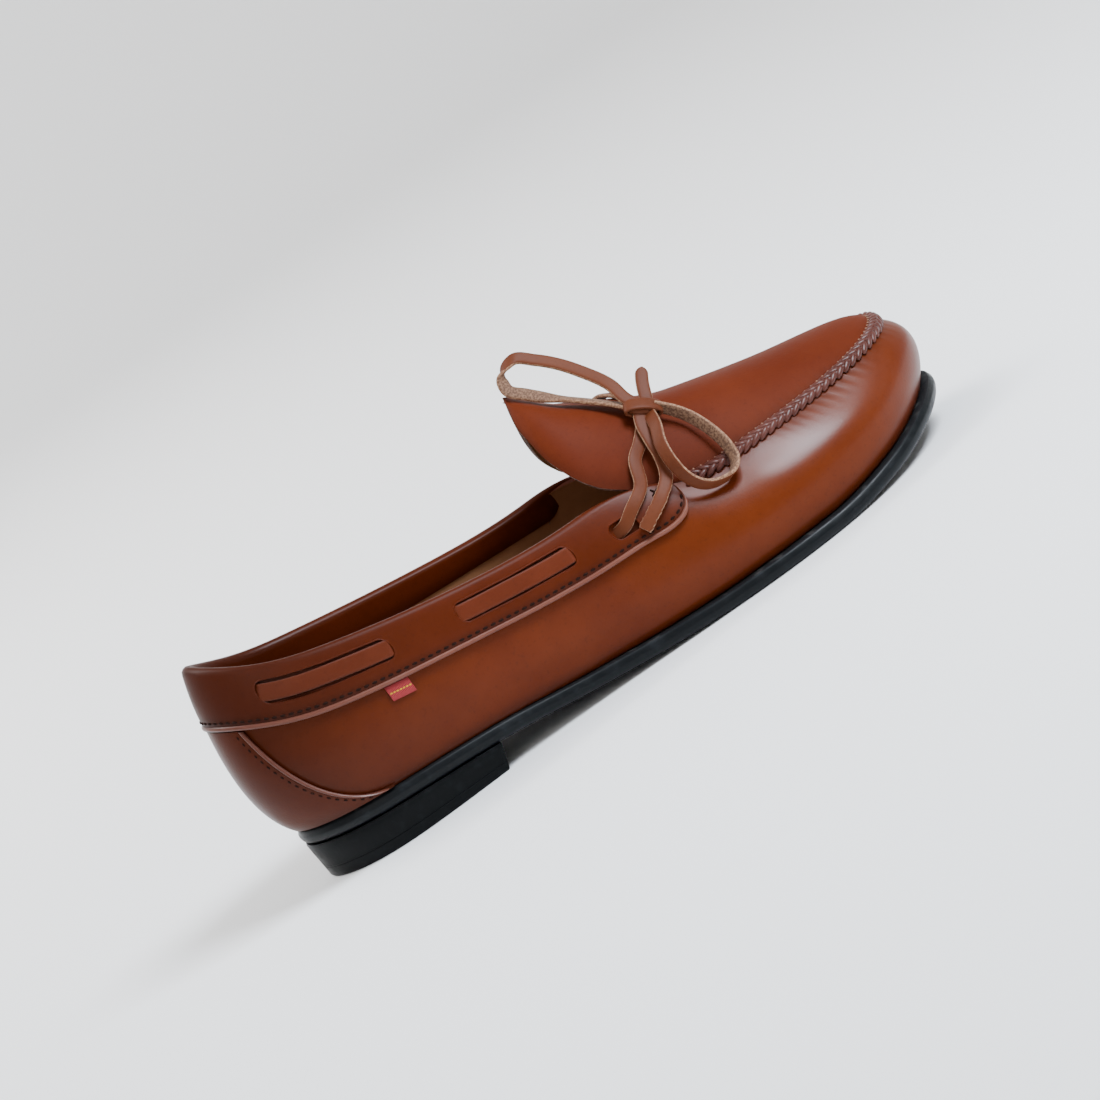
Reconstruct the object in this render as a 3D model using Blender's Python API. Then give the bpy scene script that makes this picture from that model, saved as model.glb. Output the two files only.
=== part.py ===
"""Right-foot bow moccasin loafer, standing empty on its sole.

+X points to the toe, -Y to the foot's outer side, +Z up, and the floor is Z = 0.
The tables below are in millimetres; the meshes are in metres.
"""
from collections import namedtuple

import bmesh
import bpy
import numpy as np
from mathutils import Vector

MM = 0.001
WELD = 0.00002

# Middle of the shoe's length and width in the tables' frame: the origin of the finished part.
CENTRE = (-2.33, -2.08, 0.0)

# Driving sizes, in millimetres
GAP = 0.3
SEAT = 0.35
SEAM_SEAT = 0.75
SOLE_EDGE = 6.0
SOLE_ROUND = 1.6
WELT = 4.6
WELT_HEEL = 2.0
HEEL_TOP_X = -72.0
HEEL_BOTTOM_X = -74.5
HEEL_TAPER = 1.2
INSOLE_THICK = 3.0
WALL_THICK = 2.0
APRON_THICK = 1.8
FULLNESS_TOE = 2.1
FULLNESS_THROAT = 2.8
BAND_HEIGHT = 15.0
BAND_THICK = 1.5
PIPING_RISE = 0.9
PIPING_HEIGHT = 2.2
BAND_LIP = 0.8
BAND_END_RUN = 18.0
BAND_SHORT = 7.0
BAND_END_HEIGHT = 2.5
COUNTER_THICK = 1.1
COUNTER_TOP_HALF = 15.0
COUNTER_FOOT_HALF = 46.0
SEAM_HALF_WIDTH = 2.5
SEAM_RISE = 2.3
LACE_WIDTH = 4.8
LACE_THICK = 1.8
WINDOW_HALF_HEIGHT = 3.2
WINDOW_DROP = 5.9
TAB_LENGTH = 8.5
TAB_HEIGHT = 5.0
TAB_THICK = 0.8
TAB_PLACE = 61.0

# Numbers of facets
AROUND = 84
UP_WALL = 6
ACROSS = 2
APRON_SEAM_STATIONS = 26
APRON_FLAP_STATIONS = 12
APRON_ACROSS = 12

# One row for each rib of the wall, going from the heel along the outer side to the toe and back:
# where it stands on the sole, how far out and up its belly is, and where it ends at the top.
Rib = namedtuple("Rib", "name foot_x foot_y belly_out belly_rise top_x top_y top_z")
RIBS = (
    Rib("heel_back", -141, 0, 7.5, 25, -141.5, 1, 88),
    Rib("heel_corner_l", -127, -23, 4.5, 22, -125.5, -20.5, 79),
    Rib("heel_l", -100, -31, 3.0, 20, -100, -28.5, 70.5),
    Rib("waist_l", -50, -33, 4.0, 20, -50, -33, 60),
    Rib("shank_l", -5, -38.5, 4.5, 19, -9, -35.5, 55.5),
    Rib("throat_l", 23, -43.5, 4.0, 18, 17, -36, 52),
    Rib("vamp_l", 40, -46.3, 3.8, 17, 34, -37, 44.5),
    Rib("ball_l", 62, -47, 3.8, 17, 56, -37.5, 42),
    Rib("toe_l", 98, -39.5, 4.2, 16, 90, -32.5, 41),
    Rib("toe_corner_l", 126, -21, 5.0, 15, 123.5, -20, 42),
    Rib("toe_tip", 139, 6, 6.5, 15, 136.5, 5, 43.5),
    Rib("toe_corner_m", 128, 27, 5.0, 15, 125, 23.5, 43),
    Rib("toe_m", 104, 39, 4.5, 16, 95, 32.5, 42.5),
    Rib("ball_m", 70, 42.5, 4.5, 17, 62, 33, 44.5),
    Rib("vamp_m", 46, 40, 4.5, 18, 39, 32.5, 47.5),
    Rib("throat_m", 29, 36.5, 5.0, 21, 22, 32, 55),
    Rib("shank_m", 0, 30, 6.0, 25, -5, 31.5, 58.5),
    Rib("waist_m", -48, 27, 5.5, 24, -48, 30, 63),
    Rib("heel_m", -100, 29.5, 3.0, 20, -100, 27.5, 72),
    Rib("heel_corner_m", -127, 22, 4.5, 22, -125.5, 20.5, 79.5),
)

# The sole's underside from heel to toe, flat on the floor under the ball of the foot.
SoleRow = namedtuple("SoleRow", "x under_z")
SOLE_LINE = (
    SoleRow(-150, 15.0),
    SoleRow(-110, 13.0),
    SoleRow(-74, 10.0),
    SoleRow(-30, 4.0),
    SoleRow(5, 0.8),
    SoleRow(28, 0.0),
    SoleRow(68, 0.0),
    SoleRow(98, 2.6),
    SoleRow(125, 7.4),
    SoleRow(150, 12.5),
)

# How high the apron's ridge stands above the chord between its two seams, rib by rib.
CrownRow = namedtuple("CrownRow", "rib rise")
CROWN = (
    CrownRow("toe_tip", 0.0),
    CrownRow("toe_corner_l", 9.0),
    CrownRow("toe_l", 17.0),
    CrownRow("ball_l", 24.5),
    CrownRow("vamp_l", 31.5),
    CrownRow("throat_l", 33.5),
)

# The free tongue flap behind the throat: its outer edge, inner edge and ridge, row by row to its tip.
FlapRow = namedtuple("FlapRow", "out_x out_y out_z in_x in_y in_z ridge_x ridge_y ridge_z")
FLAP = (
    FlapRow(7, -33, 60.5, 14, 30.5, 63, 15, -1, 91),
    FlapRow(2, -28.5, 69, 9.5, 27, 71, 11.5, 0, 94.4),
    FlapRow(-0.5, -21.5, 79, 7.5, 21.5, 80.5, 8.8, 1, 97),
    FlapRow(0, -12.5, 89, 6.8, 14.5, 90.5, 6.8, 1.5, 98.8),
    FlapRow(2.4, -5.5, 95.4, 6.2, 8.5, 96, 5.8, 1.5, 99.6),
    FlapRow(5, 1.5, 100.2, 5, 1.5, 100.2, 5, 1.5, 100.2),
)

# Openings of the band, measured along the foot line from the back of the heel.
Window = namedtuple("Window", "name start end drop half_height has_bar")
WINDOWS = (
    Window("rear", 25, 71.5, WINDOW_DROP, WINDOW_HALF_HEIGHT, True),
    Window("front", 95, 143, WINDOW_DROP, WINDOW_HALF_HEIGHT, True),
    Window("exit", 158, 169, 7.8, 2.6, False),
)

# The lace's front run from the outer exit hole, under the knot, to the inner exit hole. On the wall a
# row gives the place along the foot line and the drop below the topline, on the apron q and s.
LaceRow = namedtuple("LaceRow", "surface along across lift")
LACE_FRONT = (
    LaceRow("wall", 161.5, 8.3, 2.3),
    LaceRow("wall", 169, 5.5, 2.4),
    LaceRow("wall", 179, 0.6, 2.9),
    LaceRow("apron", 0.96, -0.88, 1.9),
    LaceRow("apron", 0.92, -0.79, 0.8),
    LaceRow("apron", 0.88, -0.66, 0.4),
    LaceRow("apron", 0.855, -0.5, 0.4),
    LaceRow("apron", 0.85, -0.25, 0.4),
    LaceRow("apron", 0.86, 0, 0.4),
    LaceRow("apron", 0.875, 0.3, 0.4),
    LaceRow("apron", 0.9, 0.58, 0.5),
    LaceRow("apron", 0.93, 0.78, 0.9),
    LaceRow("apron", 0.96, 0.88, 1.9),
    LaceRow("wall", -184, 0.6, 2.9),
    LaceRow("wall", -174, 5.5, 2.4),
    LaceRow("wall", -166.5, 8.3, 2.3),
)

# The bow's knot: its middle, its three half sizes, and its long and flat directions.
KNOT_PLACE = (38.2, -25.5, 72.2)
KNOT_HALF = (7.4, 4.4, 2.3)
KNOT_RUN = (0.82, -0.18, -0.55)
KNOT_FACE = (0.33, -0.62, 0.71)

# Routes of the bow's loops and ends.
CORD_RADIUS = 1.4
CORD_STEP = 6.0
FAR_LOOP = (
    (35.9, -22.4, 77.6),
    (35.2, -17.5, 84.2),
    (31.2, -10.5, 92.8),
    (26.8, -5.5, 99.4),
    (21.6, -2.0, 104.8),
    (15.6, 0.0, 109.2),
    (11.8, 0.4, 108.5),
    (8.2, -0.4, 105.6),
    (7.2, -2.2, 102.0),
    (11.2, -5.4, 97.2),
    (16.6, -8.4, 91.9),
    (22.8, -11.9, 86.6),
    (28.0, -15.6, 82.0),
    (32.6, -19.4, 77.6),
)
NEAR_LOOP = (
    (45.9, -27.7, 66.0),
    (48.4, -30.0, 62.2),
    (50.2, -33.6, 57.6),
    (51.4, -37.4, 52.2),
    (51.6, -41.0, 46.6),
    (50.2, -44.0, 41.6),
    (46.0, -45.8, 39.0),
    (41.0, -46.0, 39.2),
    (36.0, -46.0, 41.4),
    (32.1, -46.1, 46.6),
    (30.7, -44.9, 53.6),
    (31.9, -41.2, 60.8),
    (35.7, -35.6, 66.6),
)
SHORT_END = (
    (41.9, -22.2, 73.6),
    (44.2, -19.4, 77.0),
    (46.4, -17.2, 79.8),
    (48.8, -15.4, 82.2),
)
LONG_END = (
    (33.6, -29.2, 68.8),
    (31.7, -33.7, 63.0),
    (30.3, -37.4, 56.9),
    (27.3, -41.0, 51.2),
    (20.5, -44.8, 47.0),
    (13.7, -46.0, 43.8),
    (9.0, -45.9, 41.4),
)

MATERIALS = {
    "wall_leather": ((0.24, 0.075, 0.022), 0.42),
    "apron_leather": ((0.22, 0.06, 0.022), 0.42),
    "band_leather": ((0.21, 0.06, 0.022), 0.45),
    "lace_leather": ((0.24, 0.085, 0.032), 0.6),
    "seam_leather": ((0.1, 0.03, 0.018), 0.5),
    "sole_rubber": ((0.012, 0.013, 0.015), 0.4),
    "lining_leather": ((0.36, 0.2, 0.1), 0.6),
    "tab_fabric": ((0.4, 0.03, 0.03), 0.8),
}


def loop_spline(knots, values, period):
    """Smooth periodic curve through values at knots."""
    knots = np.asarray(knots, float)
    values = np.asarray(values, float)
    count = len(knots)
    step = np.diff(np.append(knots, knots[0] + period))
    matrix = np.zeros((count, count))
    right = np.zeros(count)
    for i in range(count):
        before, after = (i - 1) % count, (i + 1) % count
        matrix[i, before] += step[before]
        matrix[i, i] += 2 * (step[before] + step[i])
        matrix[i, after] += step[i]
        rise = (values[after] - values[i]) / step[i]
        rise_before = (values[i] - values[before]) / step[before]
        right[i] = 6 * (rise - rise_before)
    bend = np.linalg.solve(matrix, right)

    def curve(at):
        at = np.mod(np.asarray(at, float) - knots[0], period) + knots[0]
        i = np.clip(np.searchsorted(knots, at, side="right") - 1, 0, count - 1)
        after = (i + 1) % count
        c = (at - knots[i]) / step[i]
        a = 1 - c
        swing = ((a**3 - a) * bend[i] + (c**3 - c) * bend[after]) * step[i] ** 2 / 6
        return a * values[i] + c * values[after] + swing

    return curve


def steady_spline(knots, values):
    """Smooth curve through values at knots that never swings past them."""
    knots = np.asarray(knots, float)
    values = np.asarray(values, float)
    step = np.diff(knots)
    rise = np.diff(values) / step
    slope = np.zeros(len(knots))
    slope[0], slope[-1] = rise[0], rise[-1]
    for i in range(1, len(knots) - 1):
        if rise[i - 1] * rise[i] > 0:
            heavy, light = 2 * step[i] + step[i - 1], step[i] + 2 * step[i - 1]
            slope[i] = (heavy + light) / (heavy / rise[i - 1] + light / rise[i])

    def curve(at):
        at = np.clip(np.asarray(at, float), knots[0], knots[-1])
        i = np.clip(np.searchsorted(knots, at) - 1, 0, len(step) - 1)
        c = (at - knots[i]) / step[i]
        start = (1 + 2 * c) * (1 - c) ** 2 * values[i] + c * (1 - c) ** 2 * step[i] * slope[i]
        end = c**2 * (3 - 2 * c) * values[i + 1] + c**2 * (c - 1) * step[i] * slope[i + 1]
        return start + end

    return curve


def unit(vectors):
    """Vectors scaled to length one."""
    return vectors / np.maximum(np.linalg.norm(vectors, axis=-1, keepdims=True), 1e-9)


# The foot line is measured from the back of the heel along the outer side.
RIB_TABLE = np.array([rib[1:] for rib in RIBS], float)
FOOT_STEPS = np.linalg.norm(np.roll(RIB_TABLE[:, :2], -1, axis=0) - RIB_TABLE[:, :2], axis=1)
RIB_PLACE = np.concatenate([[0.0], np.cumsum(FOOT_STEPS)[:-1]])
GIRTH = FOOT_STEPS.sum()
COLUMN = {
    field: loop_spline(RIB_PLACE, RIB_TABLE[:, i], GIRTH) for i, field in enumerate(Rib._fields[1:])
}
sole_under = steady_spline(*zip(*SOLE_LINE))


def place_of(name):
    """Place of a named rib on the foot line."""
    return RIB_PLACE[[rib.name for rib in RIBS].index(name)]


def outward(u):
    """Level direction that points away from the foot at u."""
    reach = 0.5
    run_x = COLUMN["foot_x"](u + reach) - COLUMN["foot_x"](u - reach)
    run_y = COLUMN["foot_y"](u + reach) - COLUMN["foot_y"](u - reach)
    return unit(np.stack([run_y, -run_x, np.zeros_like(run_x)], axis=-1))


def foot_line(u, offset=0.0):
    """Point of the sole's upper face below the wall, moved outward by offset."""
    u = np.asarray(u, float)
    point = np.stack([COLUMN["foot_x"](u), COLUMN["foot_y"](u), np.zeros_like(u)], axis=-1)
    point = point + outward(u) * np.asarray(offset, float)[..., None]
    point[..., 2] = sole_under(point[..., 0]) + SOLE_EDGE
    return point


def wall(u, v):
    """Outer face of the upper: v is 0 at the sole, 1 at the top."""
    u, v = np.broadcast_arrays(np.asarray(u, float), np.asarray(v, float))
    foot = foot_line(u)
    foot[..., 2] += GAP
    top = np.stack([COLUMN["top_x"](u), COLUMN["top_y"](u), COLUMN["top_z"](u)], axis=-1)
    belly = foot + outward(u) * COLUMN["belly_out"](u)[..., None]
    belly[..., 2] += COLUMN["belly_rise"](u)
    handle = 2 * belly - (foot + top) / 2
    share = v[..., None]
    return (1 - share) ** 2 * foot + 2 * share * (1 - share) * handle + share**2 * top


def wall_normal(u, v):
    """Direction that points out of the upper's outer face."""
    along = wall(u + 0.5, v) - wall(u - 0.5, v)
    up = wall(u, v + 0.01) - wall(u, v - 0.01)
    return unit(np.cross(along, up))


def skin(u, v, lift):
    """Point of the wall moved out by lift."""
    return wall(u, v) + wall_normal(u, v) * np.asarray(lift, float)[..., None]


def rib_length(u):
    """Length of the wall's rib at u, from sole to top."""
    marks = wall(np.asarray(u, float)[..., None], np.linspace(0, 1, 9))
    return np.linalg.norm(np.diff(marks, axis=-2), axis=-1).sum(axis=-1)


def below_top(u, drop):
    """Share v that lies drop below the top of the wall."""
    return 1 - np.asarray(drop, float) / rib_length(u)


THROAT_L = place_of("throat_l")
THROAT_M = place_of("throat_m")
VAMP_L = place_of("vamp_l")
VAMP_M = place_of("vamp_m")
TOE_TIP = place_of("toe_tip")
crown_rise = steady_spline(
    [(TOE_TIP - place_of(row.rib)) / (TOE_TIP - THROAT_L) for row in CROWN], [row.rise for row in CROWN]
)


def seam_edge(u):
    """Edge of the apron, a gap past the top of the wall along the wall's own run."""
    run = wall(u, 1.0) - wall(u, 0.99)
    return wall(u, 1.0) + unit(run) * GAP


def apron_edges(q):
    """Outer edge, inner edge and ridge of the apron at q: 0 at the toe, 1 at the throat, 2 at the tip."""
    seam_q = np.clip(q, 0, 1)
    edge_l = seam_edge(TOE_TIP + (THROAT_L - TOE_TIP) * seam_q)
    edge_m = seam_edge(TOE_TIP + (THROAT_M - TOE_TIP) * seam_q)
    ridge = (edge_l + edge_m) / 2
    ridge[..., 2] += crown_rise(seam_q)
    throat_l, throat_m = seam_edge(THROAT_L), seam_edge(THROAT_M)
    throat_ridge = (throat_l + throat_m) / 2 + np.array([0, 0, CROWN[-1].rise])
    rows = np.vstack([np.concatenate([throat_l, throat_m, throat_ridge]), np.array(FLAP, float)])
    places = np.linspace(1, 2, len(rows))
    free = np.stack([steady_spline(places, rows[:, i])(q) for i in range(rows.shape[1])], axis=-1)
    is_free = (q > 1)[..., None]
    return (
        np.where(is_free, free[..., 0:3], edge_l),
        np.where(is_free, free[..., 3:6], edge_m),
        np.where(is_free, free[..., 6:9], ridge),
    )


def apron(q, s):
    """Outer face of the apron and its flap: s is -1 at the outer edge, 1 at the inner edge."""
    q, s = np.broadcast_arrays(np.asarray(q, float), np.asarray(s, float))
    edge_l, edge_m, ridge = apron_edges(q)
    share = s[..., None]
    chord = (1 - share) / 2 * edge_l + (1 + share) / 2 * edge_m
    rise = ridge - (edge_l + edge_m) / 2
    fullness = FULLNESS_TOE + (FULLNESS_THROAT - FULLNESS_TOE) * np.clip(q, 0, 1)[..., None]
    return chord + rise * (1 - np.abs(share) ** fullness)


def apron_normal(q, s):
    """Direction that points out of the apron's outer face."""
    q, s = np.broadcast_arrays(np.clip(q, 0.06, 1.94), np.clip(s, -0.97, 0.97))
    back = apron(q + 0.02, s) - apron(q - 0.02, s)
    across = apron(q, s + 0.02) - apron(q, s - 0.02)
    return unit(np.cross(across, back))


def metres(place):
    """Place of the tables' frame in the part's own frame and unit."""
    return Vector(np.subtract(place, CENTRE)) * MM


def make_material(name):
    """Principled material with the colour and roughness of a named finish."""
    colour, roughness = MATERIALS[name]
    material = bpy.data.materials.get(name)
    if material is None:
        material = bpy.data.materials.new(name)
        material.use_nodes = True
        shader = material.node_tree.nodes["Principled BSDF"]
        shader.inputs["Base Color"].default_value = (*colour, 1.0)
        shader.inputs["Roughness"].default_value = roughness
        shader.inputs["Metallic"].default_value = 0.0
    return material


def add_object(name, bm, material):
    """Object of a finished bmesh, in its own material."""
    bmesh.ops.recalc_face_normals(bm, faces=bm.faces)
    if bm.calc_volume(signed=True) < 0:
        bmesh.ops.reverse_faces(bm, faces=bm.faces)
    mesh = bpy.data.meshes.new(name)
    bm.to_mesh(mesh)
    bm.free()
    mesh.materials.append(make_material(material))
    mesh.shade_smooth()
    mesh.set_sharp_from_angle(angle=0.7)
    piece = bpy.data.objects.new(name, mesh)
    bpy.context.scene.collection.objects.link(piece)
    return piece


def swept_solid(name, material, point, stations, ring):
    """Closed solid made of a ring of points at each station.

    point takes the station's share from 0 to 1 and the ring's index, and gives places in millimetres.
    A ring that ends in one line closes by itself, and any other end gets a flat cap.
    """
    bm = bmesh.new()
    bmesh.ops.create_grid(bm, x_segments=stations, y_segments=ring, size=0.5)
    verts = list(bm.verts)
    along = np.array([vert.co.x for vert in verts]) + 0.5
    index = np.rint((np.array([vert.co.y for vert in verts]) + 0.5) * ring).astype(int) % ring
    for vert, place in zip(verts, point(along, index)):
        vert.co = metres(place)
    bmesh.ops.remove_doubles(bm, verts=bm.verts, dist=WELD)
    rims = [edge for edge in bm.edges if edge.is_boundary]
    if rims:
        bmesh.ops.holes_fill(bm, edges=rims, sides=0)
    return add_object(name, bm, material)


def two_faces(index, segments):
    """Share across a sheet and layer (0 outer, 1 inner) for the ring around both its faces."""
    outer = index <= segments
    share = np.where(outer, index, 2 * segments + 1 - index) / segments
    return share, np.where(outer, 0, 1)


def sole_slab(name, material, outline, heights, stations):
    """Slab with a rounded edge between two heights above the sole's underside.

    outline gives the outer and inner side's points for a station's share and an inset.
    """
    steps = np.linspace(-1, 1, ACROSS + 1)
    ring = [(side, SOLE_ROUND, 0.0) for side in steps]
    ring += [(1, 0.0, 0.3), (1, 0.0, 0.7)]
    ring += [(side, SOLE_ROUND, 1.0) for side in steps[::-1]]
    ring += [(-1, 0.0, 0.7), (-1, 0.0, 0.3)]
    table = np.array(ring)

    def point(along, index):
        side, inset, share = table[index].T
        left, right = outline(along, inset, share)
        place = (1 - side[:, None]) / 2 * left + (1 + side[:, None]) / 2 * right
        low, high = heights(place[:, 0])
        place[:, 2] = low + (high - low) * share
        return place

    return swept_solid(name, material, point, stations, len(ring))


def welt_at(u):
    """How far the sole stands out past the foot line: less around the heel."""
    nearness = np.clip((COLUMN["foot_x"](u) + 60) / 70, 0, 1)
    return WELT_HEEL + (WELT - WELT_HEEL) * nearness


def both_sides(along, inset, offset):
    """Points of the outer and inner side at one share of the way from heel to toe."""
    outer_u, inner_u = along * TOE_TIP, GIRTH - along * (GIRTH - TOE_TIP)
    outer = foot_line(outer_u, offset(outer_u) - inset)
    inner = foot_line(inner_u, offset(inner_u) - inset)
    return outer, inner


def build_outsole():
    """Black sheet sole from heel to toe."""

    def outline(along, inset, _share):
        return both_sides(along, inset, welt_at)

    def heights(x):
        return sole_under(x), sole_under(x) + SOLE_EDGE

    return sole_slab("outsole", "sole_rubber", outline, heights, AROUND // 2)


def build_insole():
    """Footbed inside the wall."""

    def clear(u):
        return np.full_like(u, -(WALL_THICK + 2 * GAP))

    def outline(along, inset, _share):
        return both_sides(along, inset * 0.3, clear)

    def heights(x):
        low = sole_under(x) + SOLE_EDGE + GAP
        return low, low + INSOLE_THICK

    return sole_slab("insole", "lining_leather", outline, heights, 36)


def build_heel():
    """Low heel block with a set-back breast, under the seat."""
    samples = np.linspace(0, 140, 281)

    def breast_place(x, sign):
        line = foot_line(sign * samples, welt_at(sign * samples))
        return np.interp(x, line[:, 0], samples)

    def outline(along, inset, share):
        breast_x = HEEL_BOTTOM_X + (HEEL_TOP_X - HEEL_BOTTOM_X) * share
        outer_u = along * breast_place(breast_x, 1)
        inner_u = -along * breast_place(breast_x, -1)
        taper = HEEL_TAPER * (1 - share) + inset * 0.3 + GAP
        return (
            foot_line(outer_u, welt_at(outer_u) - taper),
            foot_line(inner_u, welt_at(inner_u) - taper),
        )

    def heights(x):
        return np.zeros_like(x), sole_under(x) - GAP

    return sole_slab("heel", "sole_rubber", outline, heights, 24)


def build_upper():
    """Hollow wall of vamp and quarters, open at the top and underneath."""
    ring = 2 * UP_WALL + 2

    def point(along, index):
        v, layer = two_faces(index, UP_WALL)
        u = along * GIRTH
        place = skin(u, v, -WALL_THICK * layer)
        floor = sole_under(place[:, 0]) + SOLE_EDGE + GAP
        place[:, 2] = np.where(v == 0, floor, place[:, 2])
        return place

    return swept_solid("upper", "wall_leather", point, AROUND, ring)


def build_apron():
    """Plug over the toes that runs on behind the throat as a free round flap."""
    ring = 2 * APRON_ACROSS + 2
    stations = APRON_SEAM_STATIONS + APRON_FLAP_STATIONS
    throat_share = APRON_SEAM_STATIONS / stations

    def point(along, index):
        share, layer = two_faces(index, APRON_ACROSS)
        s = 2 * share - 1
        seam_q = along / throat_share
        flap_q = 1 + (along - throat_share) / (1 - throat_share)
        q = np.where(along <= throat_share, seam_q, flap_q)
        thick = -apron_normal(q, s) * APRON_THICK
        end = np.where(s < 0, THROAT_L, THROAT_M)
        rim_u = TOE_TIP + (end - TOE_TIP) * np.clip(q, 0, 1)
        rim = -wall_normal(rim_u, np.ones_like(rim_u)) * APRON_THICK
        on_seam = (np.abs(s) > 0.999) & (q <= 1.0001)
        thick = np.where(on_seam[:, None], rim, thick)
        return apron(q, s) + thick * layer[:, None]

    return swept_solid("apron", "apron_leather", point, stations, ring)


def build_apron_seam():
    """Raised ridge of the plaited seam over the joint of wall and apron."""
    profile = np.array([(-1, 0), (-0.95, 0.5), (-0.55, 0.9), (0, 1), (0.55, 0.9), (0.95, 0.5), (1, 0)])
    count = len(profile)

    def point(along, index):
        u = VAMP_L + (VAMP_M - VAMP_L) * along
        centre = (wall(u, 1.0) + seam_edge(u)) / 2
        run = unit(wall(u + 0.5, 1.0) - wall(u - 0.5, 1.0))
        throat = np.where(u < TOE_TIP, THROAT_L, THROAT_M)
        plug_face = apron_normal((u - TOE_TIP) / (throat - TOE_TIP), np.where(u < TOE_TIP, -1.0, 1.0))
        face = unit(wall_normal(u, np.ones_like(u)) + plug_face)
        side = unit(np.cross(face, run))
        across, rise = profile[index].T
        lift = SEAM_SEAT + SEAM_RISE * rise
        return centre + side * (across * SEAM_HALF_WIDTH)[:, None] + face * lift[:, None]

    return swept_solid("apron_seam", "seam_leather", point, 54, count)


def band_ends():
    """Places of the band's two front ends, the inner one before the heel and the outer one after it."""
    return VAMP_M - GIRTH + BAND_SHORT, VAMP_L - BAND_SHORT


def band_drop(u):
    """Height of the band below the topline: it rounds up to the seam at both its front ends."""
    start, end = band_ends()
    to_end = np.clip(np.minimum(u - start, end - u) / BAND_END_RUN, 0, 1)
    round_up = np.sqrt(1 - (1 - to_end) ** 2)
    return BAND_END_HEIGHT + (BAND_HEIGHT - BAND_END_HEIGHT) * round_up


def band_places():
    """Places of the band's sections: the wall's own, and closer ones at the two round front ends."""
    start, end = band_ends()
    turn = BAND_END_RUN * (1 - np.cos(np.linspace(0, np.pi / 2, 5)))
    step = GIRTH / AROUND
    middle = np.arange(np.ceil((start + BAND_END_RUN) / step + 0.4), (end - BAND_END_RUN) / step - 0.4) * step
    return np.concatenate([start + turn, middle, (end - turn)[::-1]])


def build_window_cutter(window, sign):
    """Upright pill through the band, from inside its seat to well outside it."""
    bm = bmesh.new()
    bmesh.ops.create_circle(bm, segments=16, radius=1.0, cap_ends=True)
    half_run = (window.end - window.start) / 2 - window.half_height
    for vert in bm.verts:
        vert.co.x = window.half_height * vert.co.x + np.sign(round(vert.co.x, 4)) * half_run
        vert.co.y = window.half_height * vert.co.y
    lid = bmesh.ops.extrude_face_region(bm, geom=bm.faces[:])
    far = {item for item in lid["geom"] if isinstance(item, bmesh.types.BMVert)}
    middle = (window.start + window.end) / 2
    for vert in bm.verts:
        u = np.array(sign * (middle + vert.co.x))
        v = below_top(u, window.drop - vert.co.y)
        lift = np.array(6.0 if vert in far else -1.0)
        vert.co = metres(skin(u, v, lift))
    cutter = add_object(f"cutter_{window.name}", bm, "band_leather")
    cutter.hide_render = True
    cutter.display_type = "WIRE"
    return cutter


def build_collar_band():
    """Band around the topline with a raised piped lower edge and two lace windows on each side."""
    up = 5
    ring = 2 * up + 2
    places = band_places()

    def point(along, index):
        share, layer = two_faces(index, up)
        u = places[np.rint(along * (len(places) - 1)).astype(int)]
        drop = band_drop(u) * (1 - share) - BAND_LIP * share
        height = band_drop(u) * share
        piping = PIPING_RISE * (height < PIPING_HEIGHT)
        lift = SEAT + (BAND_THICK + piping) * (1 - layer)
        return skin(u, below_top(u, drop), lift)

    band = swept_solid("collar_band", "band_leather", point, len(places) - 1, ring)
    for window in WINDOWS:
        for sign in (1, -1):
            cut = band.modifiers.new(f"window_{window.name}", "BOOLEAN")
            cut.operation = "DIFFERENCE"
            cut.solver = "EXACT"
            cut.object = build_window_cutter(window, sign)
    return band


def build_heel_counter():
    """Back piece below the band, wider at the sole than at the top."""
    up = 6
    ring = 2 * up + 2

    def point(along, index):
        share, layer = two_faces(index, up)
        half = COUNTER_FOOT_HALF + (COUNTER_TOP_HALF - COUNTER_FOOT_HALF) * np.sqrt(share)
        u = (2 * along - 1) * half
        high = below_top(u, BAND_HEIGHT + 2 * GAP)
        lift = SEAT + COUNTER_THICK * (1 - layer)
        return skin(u, 0.03 + (high - 0.03) * share, lift)

    return swept_solid("heel_counter", "wall_leather", point, 26, ring)


def wall_strip(name, material, start, end, drop, height, thick, stations):
    """Flat strip laid on the wall at a drop below the topline."""
    up = 2
    ring = 2 * up + 2

    def point(along, index):
        share, layer = two_faces(index, up)
        u = start + (end - start) * along
        v = below_top(u, drop + height * (0.5 - share))
        return skin(u, v, SEAT + thick * (1 - layer))

    return swept_solid(name, material, point, stations, ring)


def build_lace_bars():
    """The flat lace where it shows in the windows of the band."""
    clear = 1.2
    for window in (each for each in WINDOWS if each.has_bar):
        for side, sign in (("outer", 1), ("inner", -1)):
            start, end = sign * (window.start + clear), sign * (window.end - clear)
            name = f"lace_bar_{side}_{window.name}"
            wall_strip(name, "lace_leather", start, end, window.drop, LACE_WIDTH, LACE_THICK, 12)


def lace_front_rows():
    """Places and outward directions along the lace's front run."""
    places, faces = [], []
    for row in LACE_FRONT:
        along, across = np.array(float(row.along)), np.array(float(row.across))
        if row.surface == "wall":
            v = below_top(along, across)
            place, face = wall(along, v), wall_normal(along, v)
        else:
            place, face = apron(along, across), apron_normal(along, across)
        places.append(place + face * row.lift)
        faces.append(face)
    return np.array(places), np.array(faces)


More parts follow.
